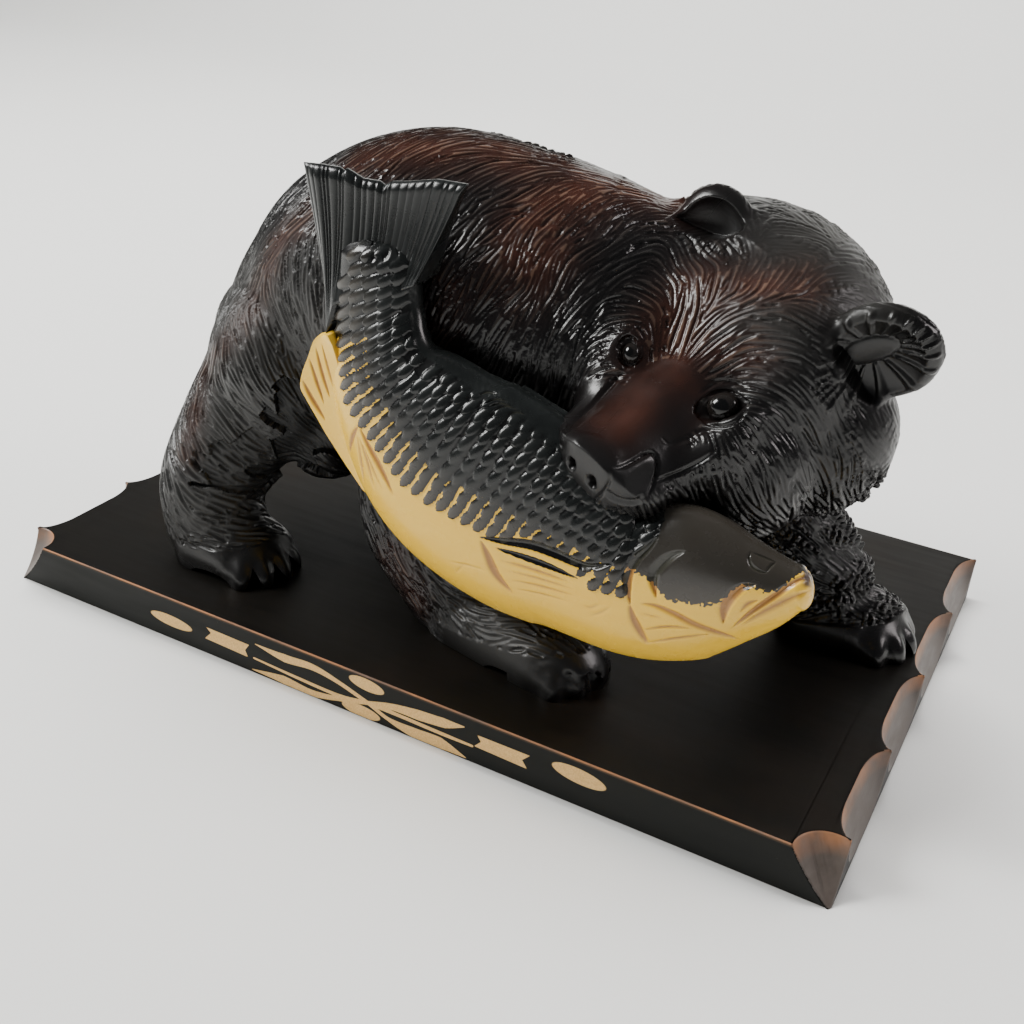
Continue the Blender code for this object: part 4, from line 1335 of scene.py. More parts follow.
def lay_fur(mesh, tree, settings):
    """The large locks and the small strokes, laid over the furry skin."""
    points, normals = read_points(mesh), read_normals(mesh)
    ways = combed_ways(points, normals, comb_table(tree))
    skin = (points, normals, ways, fur_share(points) > 0.5)
    spacing, _, length = stroke_sizes(points, normals)
    size = np.full(len(points), settings.lock_spacing)
    locks = laid_strokes(*skin, size, size * LOCK_LENGTH, LOCK_STRAY, LOCK_SEED)
    return locks, laid_strokes(*skin, spacing, length, STROKE_STRAY, STROKE_SEED)


def cut_fur(mesh, tree, locks, strokes, settings):
    """Raise the tufts, cut the strokes and the face's lines, and write the layers."""
    points, normals = read_points(mesh), read_normals(mesh)
    head = in_head(points)
    fur = fur_share(points)
    _, depth, _ = stroke_sizes(points, normals)
    tufts, roots = tuft_rise(points, locks)
    hollow, crest, chance = stroke_cut(points, strokes)
    deeper, painted_shade = deeper_share(points, normals, roots)
    calm = calm_share(points)
    shaggy = fur * ramp(-head[:, 0], 62, 104) * (1 - CALM_TUFTS * calm)
    ears, ridge = ear_relief(points)
    cut = hollow * depth * settings.stroke_depth * (0.45 + 1.0 * chance) * fur
    cut *= 1 - CALM_STROKES * calm
    cut -= tufts * settings.lock_depth * shaggy + ears
    cut += TUFT_SINK * settings.lock_depth * shaggy + deeper * fur
    face = face_depth(points, tree)
    write_points(mesh, points - normals * (cut * STEP + face)[:, None])
    crest = np.where(fur > 0.5, np.clip(crest, 0, 1), 0.0)
    nose = ramp(head[:, 0], -5, -1) * (1 - ramp(np.abs(head[:, 1]), 12, 17)) * (head[:, 2] > -30)
    # The crests, which the lacquer paints lighter: partly worn lacquer, partly a painted highlight on
    # their ridges.
    write_layer(mesh, "crest", np.maximum(crest, ridge))
    # Painted shade: near black in the deeper parts under the tufts, and more lightly on the nose's front.
    write_layer(mesh, "painted_shade", np.maximum(painted_shade, NOSE_SHADE * nose))
    write_layer(mesh, "stain", stain_share(points, tree))
    # Where the lacquer is satin and gets a painted sheen.
    write_layer(mesh, "satin_painted_sheen", satin_sheen_share(points))


def refine_seen(mesh):
    """Halve the mesh's steps on the side that the photograph shows."""
    seen = seen_share(read_points(mesh), read_normals(mesh)) > 0.5
    shape = shape_from(mesh)
    shape.verts.ensure_lookup_table()
    edges = [edge for edge in shape.edges if seen[edge.verts[0].index] and seen[edge.verts[1].index]]
    bmesh.ops.subdivide_edges(shape, edges=edges, cuts=1, use_grid_fill=True)
    for _ in range(2):
        bmesh.ops.smooth_vert(
            shape, verts=shape.verts[:], factor=0.4, use_axis_x=True, use_axis_y=True, use_axis_z=True,
        )
    shape.to_mesh(mesh)
    shape.free()


# The carving's pieces from its rump to its chest, each with the X of its front in grid steps.
BODY_PIECES = (
    ("bear_haunch", -62), ("bear_loin", -30), ("bear_flank", 4), ("bear_chest", 30),
    ("bear_shoulder", 52),
)
KNEE_HEIGHT = 88
FORE_LEG_HEIGHT = 84
FACE_DEPTH = 70
FOOT_PIECES = ("bear_hind_leg", "bear_loin", "bear_flank", "bear_chest", "bear_shoulder", "bear_fore_leg")


def parted(mesh, place, way):
    """The mesh on both sides of a plane: behind it and ahead of it."""
    return cut_away(mesh, place, way), cut_away(mesh, place, -np.asarray(way))


def part_bear(rough):
    """The carving in pieces that each stay small enough to keep whole."""
    rest = rough.data
    pieces = {}
    for name, edge in BODY_PIECES:
        pieces[name], rest = parted(rest, (edge * STEP, 0, 0), (1, 0, 0))
    pieces["bear_hind_leg"], pieces["bear_haunch"] = parted(
        pieces["bear_haunch"], at(0, 0, KNEE_HEIGHT), (0, 0, 1)
    )
    back, face = parted(rest, on_head(-FACE_DEPTH, 0, 0), HEAD_FORWARD)
    pieces["bear_face_right"], pieces["bear_face_left"] = parted(face, on_head(0, 0, 0), HEAD_LEFT)
    pieces["bear_fore_leg"], pieces["bear_neck"] = parted(back, at(0, 0, FORE_LEG_HEIGHT), (0, 0, 1))
    return pieces


def fit_feet(mesh):
    """The part of the carving above the glue line, closed underneath."""
    return cut_away(mesh, (0, 0, GROUND), (0, 0, -1))


def cut_out(thing, cutters):
    """The object without what its cutters hold."""
    for cutter in cutters:
        change = thing.modifiers.new("cut", "BOOLEAN")
        change.operation = "DIFFERENCE"
        change.solver = "MANIFOLD"
        change.object = cutter
    baked(thing)


# Materials

# A painted layer's edge runs between these shares of it.
EDGE = (0.42, 0.58)
# The lowest and highest roughness of varnish.
VARNISH = (0.20, 0.34)
NOISE_ROUGHNESS = 0.55
# The near black of the painted shade.
SHADE_BLACK = (0.0022, 0.0022, 0.0020)
EYE_BLACK, EYE_BROWN = (0.002, 0.002, 0.002), (0.012, 0.010, 0.009)


class Finish:
    """A new material, with the few kinds of nodes that this object's finishes are made of."""

    def __init__(self, name, **sockets):
        self.material = bpy.data.materials.new(name)
        self.material.use_nodes = True
        self.tree = self.material.node_tree
        self.shader = self.tree.nodes["Principled BSDF"]
        for socket, value in sockets.items():
            self.shader.inputs[socket.replace("_", " ")].default_value = value

    def node(self, kind, **values):
        made = self.tree.nodes.new("ShaderNode" + kind)
        for name, value in values.items():
            setattr(made, name, value)
        return made

    def feed(self, socket, value):
        """A link, a number or a colour into a socket."""
        if hasattr(value, "node"):
            self.tree.links.new(value, socket)
        elif isinstance(value, (int, float)):
            socket.default_value = value
        else:
            socket.default_value = (*tuple(value)[:3], 1.0)

    def place(self):
        """The place on the object, and its X, Y and Z."""
        place = self.node("TexCoord").outputs["Object"]
        parts = self.node("SeparateXYZ")
        self.feed(parts.inputs["Vector"], place)
        return place, parts.outputs

    def noise(self, scale, detail, stretch=None):
        """Noise over the place, at a scale per metre and perhaps stretched."""
        place = self.node("TexCoord").outputs["Object"]
        if stretch:
            mapping = self.node("Mapping")
            mapping.inputs["Scale"].default_value = stretch
            self.feed(mapping.inputs["Vector"], place)
            place = mapping.outputs["Vector"]
        made = self.node("TexNoise")
        parts = {"Scale": scale, "Detail": detail, "Roughness": NOISE_ROUGHNESS, "Vector": place}
        for name, value in parts.items():
            self.feed(made.inputs[name], value)
        return made.outputs["Fac"]

    def layer(self, name):
        return self.node("Attribute", attribute_name=name).outputs["Fac"]

    def ranged(self, value, from_low, from_high, to_low=0.0, to_high=1.0):
        made = self.node("MapRange")
        for socket, part in zip(made.inputs, (value, from_low, from_high, to_low, to_high)):
            self.feed(socket, part)
        return made.outputs["Result"]

    def math(self, operation, first, second):
        made = self.node("Math", operation=operation, use_clamp=True)
        self.feed(made.inputs[0], first)
        self.feed(made.inputs[1], second)
        return made.outputs["Value"]

    def mix(self, share, first, second):
        """A mix of two colours."""
        made = self.node("Mix", data_type="RGBA")
        for index, value in ((0, share), (6, first), (7, second)):
            self.feed(made.inputs[index], value)
        return made.outputs[2]

    def done(self, colour, roughness=None, bump=None):
        """The material, with a colour, a roughness and a bump's height, strength and depth."""
        self.feed(self.shader.inputs["Base Color"], colour)
        if roughness is not None:
            self.feed(self.shader.inputs["Roughness"], roughness)
        if bump is not None:
            made = self.node("Bump")
            for name, value in zip(("Height", "Strength", "Distance"), bump):
                self.feed(made.inputs[name], value)
            self.feed(self.shader.inputs["Normal"], made.outputs["Normal"])
        return self.material


def bear_lacquer(settings):
    """Black lacquer over wood: reddish brown where rubbed, crests worn lighter with a painted highlight,
    a painted sheen where satin, and painted shade where deeper.
    """
    finish = Finish("bear_lacquer")
    cloud, fine, wide = finish.noise(60, 4), finish.noise(900, 3), finish.noise(22, 2)
    stain, crest, satin_painted_sheen, painted_shade = (finish.layer(name) for name in ("stain", "crest", "satin_painted_sheen", "painted_shade"))
    stain = finish.math("MULTIPLY", stain, finish.ranged(cloud, 0.35, 0.62, 0.45))
    # A lighter grey painted sheen, for a broad reflection, where the lacquer is satin.
    colour = finish.mix(stain, finish.mix(satin_painted_sheen, settings.lacquer, settings.satin_painted_sheen), settings.stain)
    # The crests: lighter where the lacquer is worn through, and partly a painted highlight on their
    # glossy ridges.
    worn = finish.mix(stain, settings.crest, settings.crest_stain_and_highlight)
    colour = finish.mix(finish.ranged(crest, 0.74, 1.0, 0.0, 0.6), colour, worn)
    # Painted shade: near black, and rougher, in the deeper parts and on the nose's front.
    colour = finish.mix(painted_shade, colour, SHADE_BLACK)
    softer = finish.math("MULTIPLY", finish.math("ADD", satin_painted_sheen, painted_shade), 0.24)
    rough = finish.math("ADD", softer, finish.ranged(wide, 0.35, 0.65, *VARNISH))
    return finish.done(colour, rough, (fine, 0.12, 0.0004))


def eye_glass():
    finish = Finish("eye_glass", Roughness=0.12)
    blur = finish.ranged(finish.noise(1200, 2), 0.0, 1.0, 0.8, 1.2)
    pupil = finish.math("MULTIPLY", finish.layer("pupil"), blur)
    return finish.done(finish.mix(finish.ranged(pupil, 0.45, 0.55), EYE_BLACK, EYE_BROWN))


def salmon_paint(settings):
    """Dark scales over a varnished yellow wooden belly."""
    finish = Finish("salmon_paint", Coat_Weight=0.2, Coat_Roughness=0.2, Specular_IOR_Level=0.42)
    fine, cloud = finish.noise(1400, 3), finish.noise(90, 4)
    grain = finish.noise(260, 4, (0.12, 1.0, 1.0))
    scale = finish.layer("scale")
    opened = finish.ranged(finish.layer("cut"), 0.15, 0.8, 0.0, 0.9)
    wood = finish.mix(grain, settings.belly_deep, settings.belly)
    wood = finish.mix(opened, wood, settings.cut_wood)
    wood = finish.mix(finish.layer("burnt"), wood, settings.burnt_tip)
    back = finish.mix(cloud, settings.back, settings.back_light)
    plump = finish.math("MULTIPLY", finish.layer("low"), finish.ranged(scale, 0.3, 0.9))
    back = finish.mix(plump, back, settings.low_scales)
    back = finish.mix(opened, back, settings.cut_back)
    back = finish.mix(finish.ranged(scale, 0.10, 0.62), settings.gaps, back)
    dark = finish.math("ADD", finish.layer("dark"), finish.ranged(fine, 0.3, 0.7, -0.08, 0.08))
    colour = finish.mix(finish.ranged(dark, *EDGE), wood, back)
    return finish.done(colour, finish.ranged(cloud, 0.3, 0.7, *VARNISH), (fine, 0.12, 0.0003))


def plinth_wood(settings):
    """Dark satin wood, worn brown along its front edge, with cream stencilled leaves."""
    finish = Finish("plinth_wood", Specular_IOR_Level=0.14)
    grain, cloud = finish.noise(180, 5, (0.12, 1.0, 1.0)), finish.noise(14, 3)
    colour = finish.mix(grain, settings.wood, settings.wood_light)
    colour = finish.mix(finish.ranged(cloud, 0.52, 0.75, 0.0, 0.55), colour, settings.wood_brown)
    _, place = finish.place()
    facing = finish.ranged(place["Y"], PLINTH_LOW[1] + 2 * HAIR, PLINTH_LOW[1] + HAIR)
    colour = finish.mix(facing, colour, settings.front)
    worn = finish.math("MULTIPLY", finish.layer("worn"), finish.ranged(grain, 0.35, 0.6, 0.3))
    colour = finish.mix(worn, colour, settings.worn)
    specks = finish.ranged(finish.noise(1500, 1), 0.80, 0.84, 0.0, 0.5)
    colour = finish.mix(specks, colour, settings.dust)
    weave = finish.ranged(finish.noise(1800, 2), 0.3, 0.7)
    cream = finish.mix(weave, settings.stencil, settings.stencil_light)
    colour = finish.mix(finish.ranged(finish.layer("paint"), *EDGE), colour, cream)
    return finish.done(colour, finish.ranged(grain, 0.3, 0.7, 0.40, 0.55), (grain, 0.06, 0.0003))


def gouged_wood(settings):
    """Grey-brown bare wood in the scoops, orange-brown under their upper rims."""
    finish = Finish("gouged_wood")
    grain, cloud = finish.noise(300, 5, (1.0, 0.3, 1.0)), finish.noise(70, 3)
    _, place = finish.place()
    rim = finish.ranged(place["Z"], PLINTH_HIGH[2] - 0.007, PLINTH_HIGH[2] - 0.0005)
    rim = finish.math("MULTIPLY", rim, finish.ranged(cloud, 0.35, 0.6, 0.25))
    colour = finish.mix(grain, settings.scoop, settings.scoop_light)
    colour = finish.mix(rim, colour, settings.scoop_rim)
    return finish.done(colour, finish.ranged(grain, 0.3, 0.7, 0.36, 0.55), (grain, 0.15, 0.0004))


def floor_paper(settings):
    finish = Finish("floor_paper", Roughness=0.85)
    light = [min(1.0, value * 1.03) for value in settings.floor]
    return finish.done(finish.mix(finish.noise(3, 2), settings.floor, light))


# The salmon

SALMON = (
    (-18, 161, 19, -84, 8), (-17, 140, 22, -85, 10), (-12, 120, 29, -87, 13), (2, 102, 39, -88, 16),
    (21, 87, 46, -88.5, 18), (46, 77.5, 46.5, -89, 18.5), (73, 71, 42, -89, 18),
    (101, 63.2, 32.7, -89, 17), (127, 71, 29.5, -89, 15), (147.5, 76, 18, -89, 11),
    (161, 80.5, 8.5, -89, 7),
)
SALMON_UP = (0.35, 0, 1)
# How many rings the salmon's skin has, and how many sides.
SALMON_RINGS, QUICK_SALMON_RINGS = (500, 320), (260, 170)

# The scales' rows start along the belly. Each station gives, in the photograph, a spot of that
# line, the way to the same scale of the next row up, and the way from a scale's round end to
# its narrow start in the lowest and in the highest row.
SCALE_STATIONS = (
    (334, 256, 13.5, -1.0, 22, -12, 19, -7), (336, 300, 14.0, -2.0, 22, -13, 19, -8),
    (338, 345, 13.5, -5.0, 22, -16, 20, -9), (345, 402, 12.5, -9.0, 21, -20, 21, -10),
    (373, 444, 10.5, -12.0, 21, -22, 22, -12), (404, 487, 8.5, -13.5, 21, -22, 23, -13),
    (455, 520, 8.5, -13.0, 22, -21, 23, -14), (500, 543, 8.0, -13.0, 22, -19, 22, -13),
    (545, 566, 7.0, -13.5, 21, -16, 21, -11), (582, 586, 6.5, -13.5, 18, -14, 18, -9),
    (622, 597, 6.0, -13.5, 16, -14, 17, -9), (660, 600, 6.0, -13.5, 16, -14, 17, -9),
)
SCALE_ROWS = 11
SCALE_PITCH = 14.3
SCALE_WIDTH = 4.5
SCALE_RISE = 16.0
# As shares of a scale's length: where it is widest and where its middle is.
SCALE_WIDEST, SCALE_MIDDLE = 0.27, 0.35
NEAR_SCALES = 6
LONGEST_SCALE = 0.024

# The edge of the gill cover, and the line where the head's dark paint ends, in the photograph.
GILL_LINE = ((664, 520), (657, 537), (641, 553), (630, 567), (626, 584), (628, 604), (646, 645))
HEAD_PAINT_LINE = (
    (625, 566), (634, 571), (650, 584), (668, 600), (684, 604), (698, 602), (716, 605),
    (727, 598), (738, 586), (752, 588), (764, 594), (782, 586), (800, 575), (808, 571), (822, 582),
)

# Leaf-shaped cuts: spots, width and depth in grid steps.
SALMON_CUTS = (
    (((658, 536), (648, 548), (636, 560), (629, 574), (628, 590), (630, 605)), 4.4, 1.5),
    (((685, 551), (672, 556), (660, 566), (653, 578), (656, 598)), 5.0, 1.6),
    (((756, 585), (742, 588), (730, 598), (724, 610), (723, 624)), 5.0, 1.5),
    (((811, 575), (795, 582), (775, 596), (752, 612), (732, 628)), 3.4, 1.1),
    (((816, 588), (792, 598), (766, 611), (742, 625)), 4.6, 0.6),
    (((740, 612), (748, 604), (759, 600)), 3.0, 0.6),
    # the pectoral fin
    (((629, 604), (633, 618), (640, 632), (648, 645)), 4.4, 1.2),
    (((639, 603), (655, 606), (674, 614), (700, 627), (742, 640)), 4.0, 0.9),
    (((643, 630), (668, 627), (694, 629)), 1.8, 0.6),
    (((647, 643), (680, 638), (713, 634)), 1.8, 0.6),
    (((640, 613), (652, 616), (664, 619)), 1.4, 0.4),
    # the pelvic fin: a long dark leaf, a pale one across it and its rays
    (((478, 537), (500, 541), (530, 545), (556, 554), (585, 566), (613, 564)), 5.4, 1.3),
    (((492, 547), (520, 556), (548, 566), (578, 579)), 3.4, 1.0),
    (((480, 540), (487, 555), (496, 575), (512, 593)), 5.4, 1.3),
    (((498, 560), (530, 569), (572, 583)), 2.2, 0.6),
    (((503, 570), (535, 578), (576, 590)), 1.7, 0.5),
    (((508, 580), (538, 586), (578, 597)), 1.7, 0.5),
    (((514, 589), (540, 594), (570, 602)), 1.5, 0.4),
    (((450, 562), (470, 566), (486, 571)), 1.6, 0.35),
    (((455, 574), (462, 566), (466, 562)), 1.4, 0.3),
    # the small fin behind it
    (((358, 425), (351, 440), (350, 458), (357, 482)), 3.4, 1.0),
    (((359, 427), (368, 446), (380, 468), (393, 495)), 4.2, 1.2),
    (((357, 436), (360, 456), (364, 484)), 2.0, 0.7),
    (((359, 438), (367, 462), (374, 489)), 2.0, 0.7),
    (((362, 444), (372, 468), (382, 490)), 1.6, 0.6),
    # between the gill and the belly
    (((582, 604), (590, 608), (600, 604)), 2.0, 0.35),
    (((588, 616), (600, 613), (612, 606)), 2.0, 0.35),
    # the eye
    (((751, 551), (749, 559), (752, 566), (759, 571), (767, 573)), 2.0, 0.8),
    (((752, 552), (763, 557), (776, 562)), 1.3, 0.5),
    (((776, 562), (770, 567), (766, 573)), 1.5, 0.6),
)
# The pelvic fin's dark leaves, and how wide their paint is.
PAINTED_LEAVES = (
    (((478, 537), (500, 541), (530, 545), (556, 554), (585, 566), (613, 564)), 5.2),
    (((494, 548), (520, 556), (548, 566), (578, 579)), 3.6),
    (((576, 576), (582, 572), (588, 568)), 4.0),
)
# Arcs between the scales under the back fin, with their width and depth.
ARC_SIZE = (1.4, 0.5)
SCALE_ARCS = (
    ((486, 404), (496, 399), (508, 402)), ((494, 411), (505, 406), (517, 409)),
    ((478, 396), (487, 392), (497, 394)), ((506, 416), (516, 412), (526, 415)),
    ((489, 407), (500, 403), (512, 406)),
)

# Fins: name, sheet in grid steps, half thickness at root and tip, ribs, rib depth, share of the
# width that is bevelled away, darkness, and the root and tip lines in the photograph.
TAIL_FIN = (
    "salmon_tail", -83, 9.0, 2.4, 24, 1.1, 0.07, 1.0,
    ((337, 338), (346, 300), (380, 286), (404, 288), (427, 280)),
    (
        (304, 162), (322, 164), (340, 167), (345, 171), (347, 168), (363, 178), (380, 181),
        (385, 185), (392, 181), (408, 181), (437, 179), (468, 184),
    ),
)
BACK_FIN = (
    "salmon_back_fin", -84, 3.2, 1.7, 7, 0.5, 0.0, 1.0,
    ((432, 372), (480, 396), (530, 420), (600, 460)),
    ((430, 352), (466, 364), (500, 378), (519, 390), (524, 385), (560, 408), (600, 432)),
)
VENT_FIN = (
    "salmon_vent_fin", -90, 5.0, 1.3, 1, 0.0, 0.0, 0.0,
    ((334, 330), (340, 342), (345, 358), (350, 380), (355, 404), (361, 430), (370, 456), (380, 486)),
    (
        (322, 333), (315, 340), (309, 356), (303, 372), (301, 387), (308, 401), (321, 424),
        (335, 446), (346, 463), (366, 492),
    ),
)
# Columns and rows of each fin's grid.
FIN_CELLS = ((TAIL_FIN, (288, 36)), (BACK_FIN, (160, 24)), (VENT_FIN, (120, 70)))
# The X of the plane between the salmon's two halves, in grid steps.
SALMON_JOIN = 40
# Cuts in the vent fin, as above.
VENT_CUTS = (
    (((318, 346), (324, 366), (334, 397)), 2.4, 1.0),
    (((311, 357), (318, 376), (327, 403)), 2.4, 1.0),
    (((304, 378), (313, 396), (328, 420)), 3.0, 1.1),
    (((325, 342), (331, 360), (339, 386)), 1.8, 0.7),
    (((303, 390), (312, 408), (326, 430)), 1.4, 0.5),
)


def near_side_first(around):
    """Four of every five columns of the salmon's skin lie on the side that faces the front."""
    share = np.abs(around) / math.pi
    wider = np.where(share < 0.8, share / 0.8 * 0.5, 0.5 + (share - 0.8) / 0.2 * 0.5)
    return np.sign(around) * wider * math.pi


def as_near_side(points, normals):
    """The points and normals, those of the far side as in a mirror at the salmon's middle."""
    line = np.array(SALMON, float)
    middle = np.interp(points[:, 0] / STEP, line[:, 0], line[:, 3]) * STEP
    far = points[:, 1] > middle
    points, normals = points.copy(), normals.copy()
    points[far, 1] = 2 * middle[far] - points[far, 1]
    normals[far, 1] *= -1
    return points, normals


def lay_scales(tree):
    """The scales of the near side: round end, axis and length."""
    stations = np.array(SCALE_STATIONS, float)
    even = np.linspace(0, 1, 600)
    fine = np.array([smooth_run(stations, share) for share in even])
    rng = np.random.default_rng(5)
    scales = []
    shares = edge_shares(fine)
    for number in range(SCALE_ROWS):
        up = number / (SCALE_ROWS - 1)
        last = None
        for share in shares:
            row = np.array([np.interp(share, even, column) for column in fine.T])
            spot = row[0:2] + row[2:4] * number
            if last is not None and np.linalg.norm(spot - last) < 0.72 * SCALE_PITCH:
                continue
            last = spot
            spot = spot + rng.normal(0, 0.5, 2)
            axis = row[4:6] * (1 - up) + row[6:8] * up
            axis = axis * rng.uniform(0.94, 1.06)
            if beyond_gill(spot[None, :])[0] > (1 if number == 0 else 5):
                continue
            if number == 0 and 500 < spot[0] < 575:
                continue
            end, _ = seen_on(tree, spot)
            start, _ = seen_on(tree, spot + axis)
            if end is None or start is None or np.linalg.norm(start - end) > LONGEST_SCALE:
                continue
            scales.append((*end, *unit(start - end), np.linalg.norm(start - end)))
    return np.array(scales)


def edge_shares(fine):
    """Shares of the belly's line at which its scales stand, one pitch apart."""
    run = np.concatenate(([0.0], np.cumsum(np.linalg.norm(np.diff(fine[:, 0:2], axis=0), axis=1))))
    places = np.arange(0.3, run[-1] / SCALE_PITCH) * SCALE_PITCH
    return np.interp(places, run, np.linspace(0, 1, len(fine)))


def beyond_gill(spots):
    """How far ahead of the gill cover's edge the spots are, in the photograph."""
    line = np.array(GILL_LINE, float)
    return spots[:, 0] - np.interp(spots[:, 1], line[:, 1], line[:, 0])


def above_belly_line(spots):
    """How many rows of scales the spots are above the belly's line."""
    left, _ = left_of(spots, np.array(SCALE_STATIONS, float))
    return -left / SCALE_RISE


def left_of(places, rows):
    """How far the places lie to the left of a curve, with the curve's nearest row."""
    fine = np.array([smooth_run(rows, share) for share in np.linspace(0, 1, 160)])
    way = rows_unit(np.gradient(fine[:, 0:2], axis=0))
    nearest = np.empty(len(places), int)
    for start in range(0, len(places), BATCH):
        part = slice(start, start + BATCH)
        gaps = ((places[part, None, :] - fine[None, :, 0:2]) ** 2).sum(axis=2)
        nearest[part] = gaps.argmin(axis=1)
    offset, way = places - fine[nearest, 0:2], way[nearest]
    return offset[:, 1] * way[:, 0] - offset[:, 0] * way[:, 1], fine[nearest]


def scale_relief(points, normals, scales):
    """Height of the scales at each point, from 0 between them to 1."""
    tree = tree_of(scales[:, 0:3] + scales[:, 3:6] * scales[:, 6:7] * SCALE_MIDDLE)
    found = np.array([[hit[1] for hit in tree.find_n(point, NEAR_SCALES)] for point in points])
    best = np.zeros(len(points))
    for column in range(found.shape[1]):
        row = scales[found[:, column]]
        offset = points - row[:, 0:3]
        along = (offset * row[:, 3:6]).sum(axis=1)
        above = (offset * normals).sum(axis=1)
        away = np.sqrt(np.clip((offset ** 2).sum(axis=1) - along ** 2 - above ** 2, 0, None))
        share = along / row[:, 6]
        blunt = np.sqrt(np.clip(1 - ((SCALE_WIDEST - share) / SCALE_WIDEST) ** 2, 0.0, 1.0))
        slim = np.cos(np.clip((share - SCALE_WIDEST) / 0.78, 0.0, 1.0) * math.pi / 2) ** 1.1
        half = np.where(share < SCALE_WIDEST, blunt, slim) * SCALE_WIDTH / 2 * STEP
        inside = 1 - (away / np.maximum(half, 1e-6)) ** 2
        proud = 0.42 + 0.58 * (1 - ramp(share, 0.2, 0.95))
        value = np.clip(inside, 0.0, 1.0) ** 0.5 * proud
        best = np.maximum(best, np.where(half > 1e-5, value, 0.0))
    return best


def leaf_cut(points, line, width, depth):
    """Depth of a cut with a keel, widest in the middle and pointed at both ends."""
    if len(line) < 2:
        return np.zeros(len(points))
    half = width * STEP / 2
    gap, share = from_line(points, line, half)
    full = np.clip(np.sin(math.pi * share), 0.02, 1.0) ** 0.7
    return np.clip(1 - gap / (half * full), 0.0, 1.0) * depth * STEP * np.sqrt(full)


def leaf_cuts(points, tree, cuts):
    """Depth of the deepest of the cuts at each point."""
    return reduce(np.maximum, (
        leaf_cut(points, seen_line(tree, spots), width, deep) for spots, width, deep in cuts
    ))


# Rows and columns of the photograph: above the first the salmon is all dark, and the others bound
# the scorched tip of its jaw.
TAIL_PAINT_ROW = 340
BURNT_COLUMNS, BURNT_ROWS = (800, 806), (590, 584)
# A cut as deep as this shows nothing but bare wood.
BARE_DEPTH = 0.7


def dark_paint(spots, rows, head_share, scaly, wander, speckle):
    """1 under dark paint: on the scales and above them, by the tail, and on top of the head."""
    line = np.array(HEAD_PAINT_LINE, float)
    above_line = np.interp(spots[:, 0], line[:, 0], line[:, 1]) - spots[:, 1]
    head = ramp(above_line + 5 * wander + 5 * speckle, -2.0, 3.0)
    by_tail = ramp(TAIL_PAINT_ROW - spots[:, 1] + 8 * wander, -12, 18)
    body = np.maximum(ramp(scaly, 0.06, 0.22), ramp(rows + 0.25 * wander, 1.3, 2.6))
    return np.maximum(body, by_tail) * (1 - head_share) + head * head_share


def make_salmon_mesh(settings):
    """The whole salmon with its scales and cuts, and the layers that its paint follows."""
    rings, sides = SALMON_RINGS
    stations = [(at(x, y, z), thickness * STEP, height * STEP) for x, z, height, y, thickness in SALMON]
    shape = swept_form(
        stations, up_hint=SALMON_UP, rings=rings, sides=sides, cap=0.6, spread=near_side_first
    )
    mesh = mesh_from("salmon_body", shape)
    thing = add_object("salmon_whole", mesh)
    points, normals = read_points(mesh), read_normals(mesh)
    tree = BVHTree.FromObject(thing, bpy.context.evaluated_depsgraph_get())
    scales = lay_scales(tree)
    held, held_normals = as_near_side(points, normals)
    spots = photo_spots(held)
    rows = above_belly_line(spots)
    ahead = beyond_gill(spots)
    relief = scale_relief(held, held_normals, scales)
    wander = soft_noise(points, 6 * STEP, 3.1)
    speckle = soft_noise(points, 1.1 * STEP, 9.7)
    on_back = top_share(held)
    scaly = relief * ((1 - ramp(ahead, -2, 3)) * (1 - on_back))
    height = scaly * settings.scale_height
    hatch = 0.5 + 0.5 * np.sin((held[:, 0] * 0.8 + held[:, 2] * 0.6) / STEP * 3.6 + 2 * wander)
    height += hatch * on_back * 0.05 * (1 - ramp(ahead, -6, 0))
    cut = leaf_cuts(held, tree, (*SALMON_CUTS, *((arc, *ARC_SIZE) for arc in SCALE_ARCS)))
    cleared = height * (1 - np.clip(cut / (0.5 * STEP), 0.0, 1.0))
    write_points(mesh, points + normals * (cleared * STEP - cut)[:, None])
    head_share = ramp(ahead, -1, 2)
    dark = dark_paint(spots, rows, head_share, scaly, wander, speckle)
    leaves = leaf_cuts(held, tree, [(leaf, width, 1.0) for leaf, width in PAINTED_LEAVES])
    dark = np.maximum(dark, ramp(leaves / STEP, 0.05, 0.25))
    burnt = ramp(spots[:, 0] + 2 * wander, *BURNT_COLUMNS) * ramp(spots[:, 1], *BURNT_ROWS)
    write_layer(mesh, "dark", np.clip(dark, 0, 1))
    write_layer(mesh, "cut", np.clip(cut / STEP / BARE_DEPTH, 0.0, 1.0))
    write_layer(mesh, "scale", np.maximum(scaly, np.maximum(head_share, on_back)))
    write_layer(mesh, "low", np.maximum(1 - ramp(rows, -0.2, 3.2), 0.55 * head_share))
    write_layer(mesh, "burnt", burnt)
    return thing


def top_share(points):
    """1 on the smooth band of the salmon's back."""
    left, nearest = left_of(in_grid(points)[:, [0, 2]], np.array(SALMON, float)[:, 0:3])
    return ramp(left / nearest[:, 2], 0.86, 0.93)


def straight_run(line, share):
    spot = share * (len(line) - 1)
    span = min(int(spot), len(line) - 2)
    return line[span] * (1 - (spot - span)) + line[span + 1] * (spot - span)


def fin_places(sheet, root, tip, across, out):
    """Places on the fin's sheet, by their shares across it and out from its root."""
    root_line = np.array([on_sheet(spot, sheet) for spot in root])
    tip_line = np.array([on_sheet(spot, sheet) for spot in tip])
    lengths = np.linalg.norm(np.diff(tip_line, axis=0), axis=1)
    knots = np.concatenate(([0.0], np.cumsum(lengths))) / lengths.sum()
    root_places = np.array([straight_run(root_line, share) for share in across])
    tip_places = np.stack([np.interp(across, knots, column) for column in tip_line.T], axis=1)
    return root_places * (1 - out)[:, None] + tip_places * out[:, None]


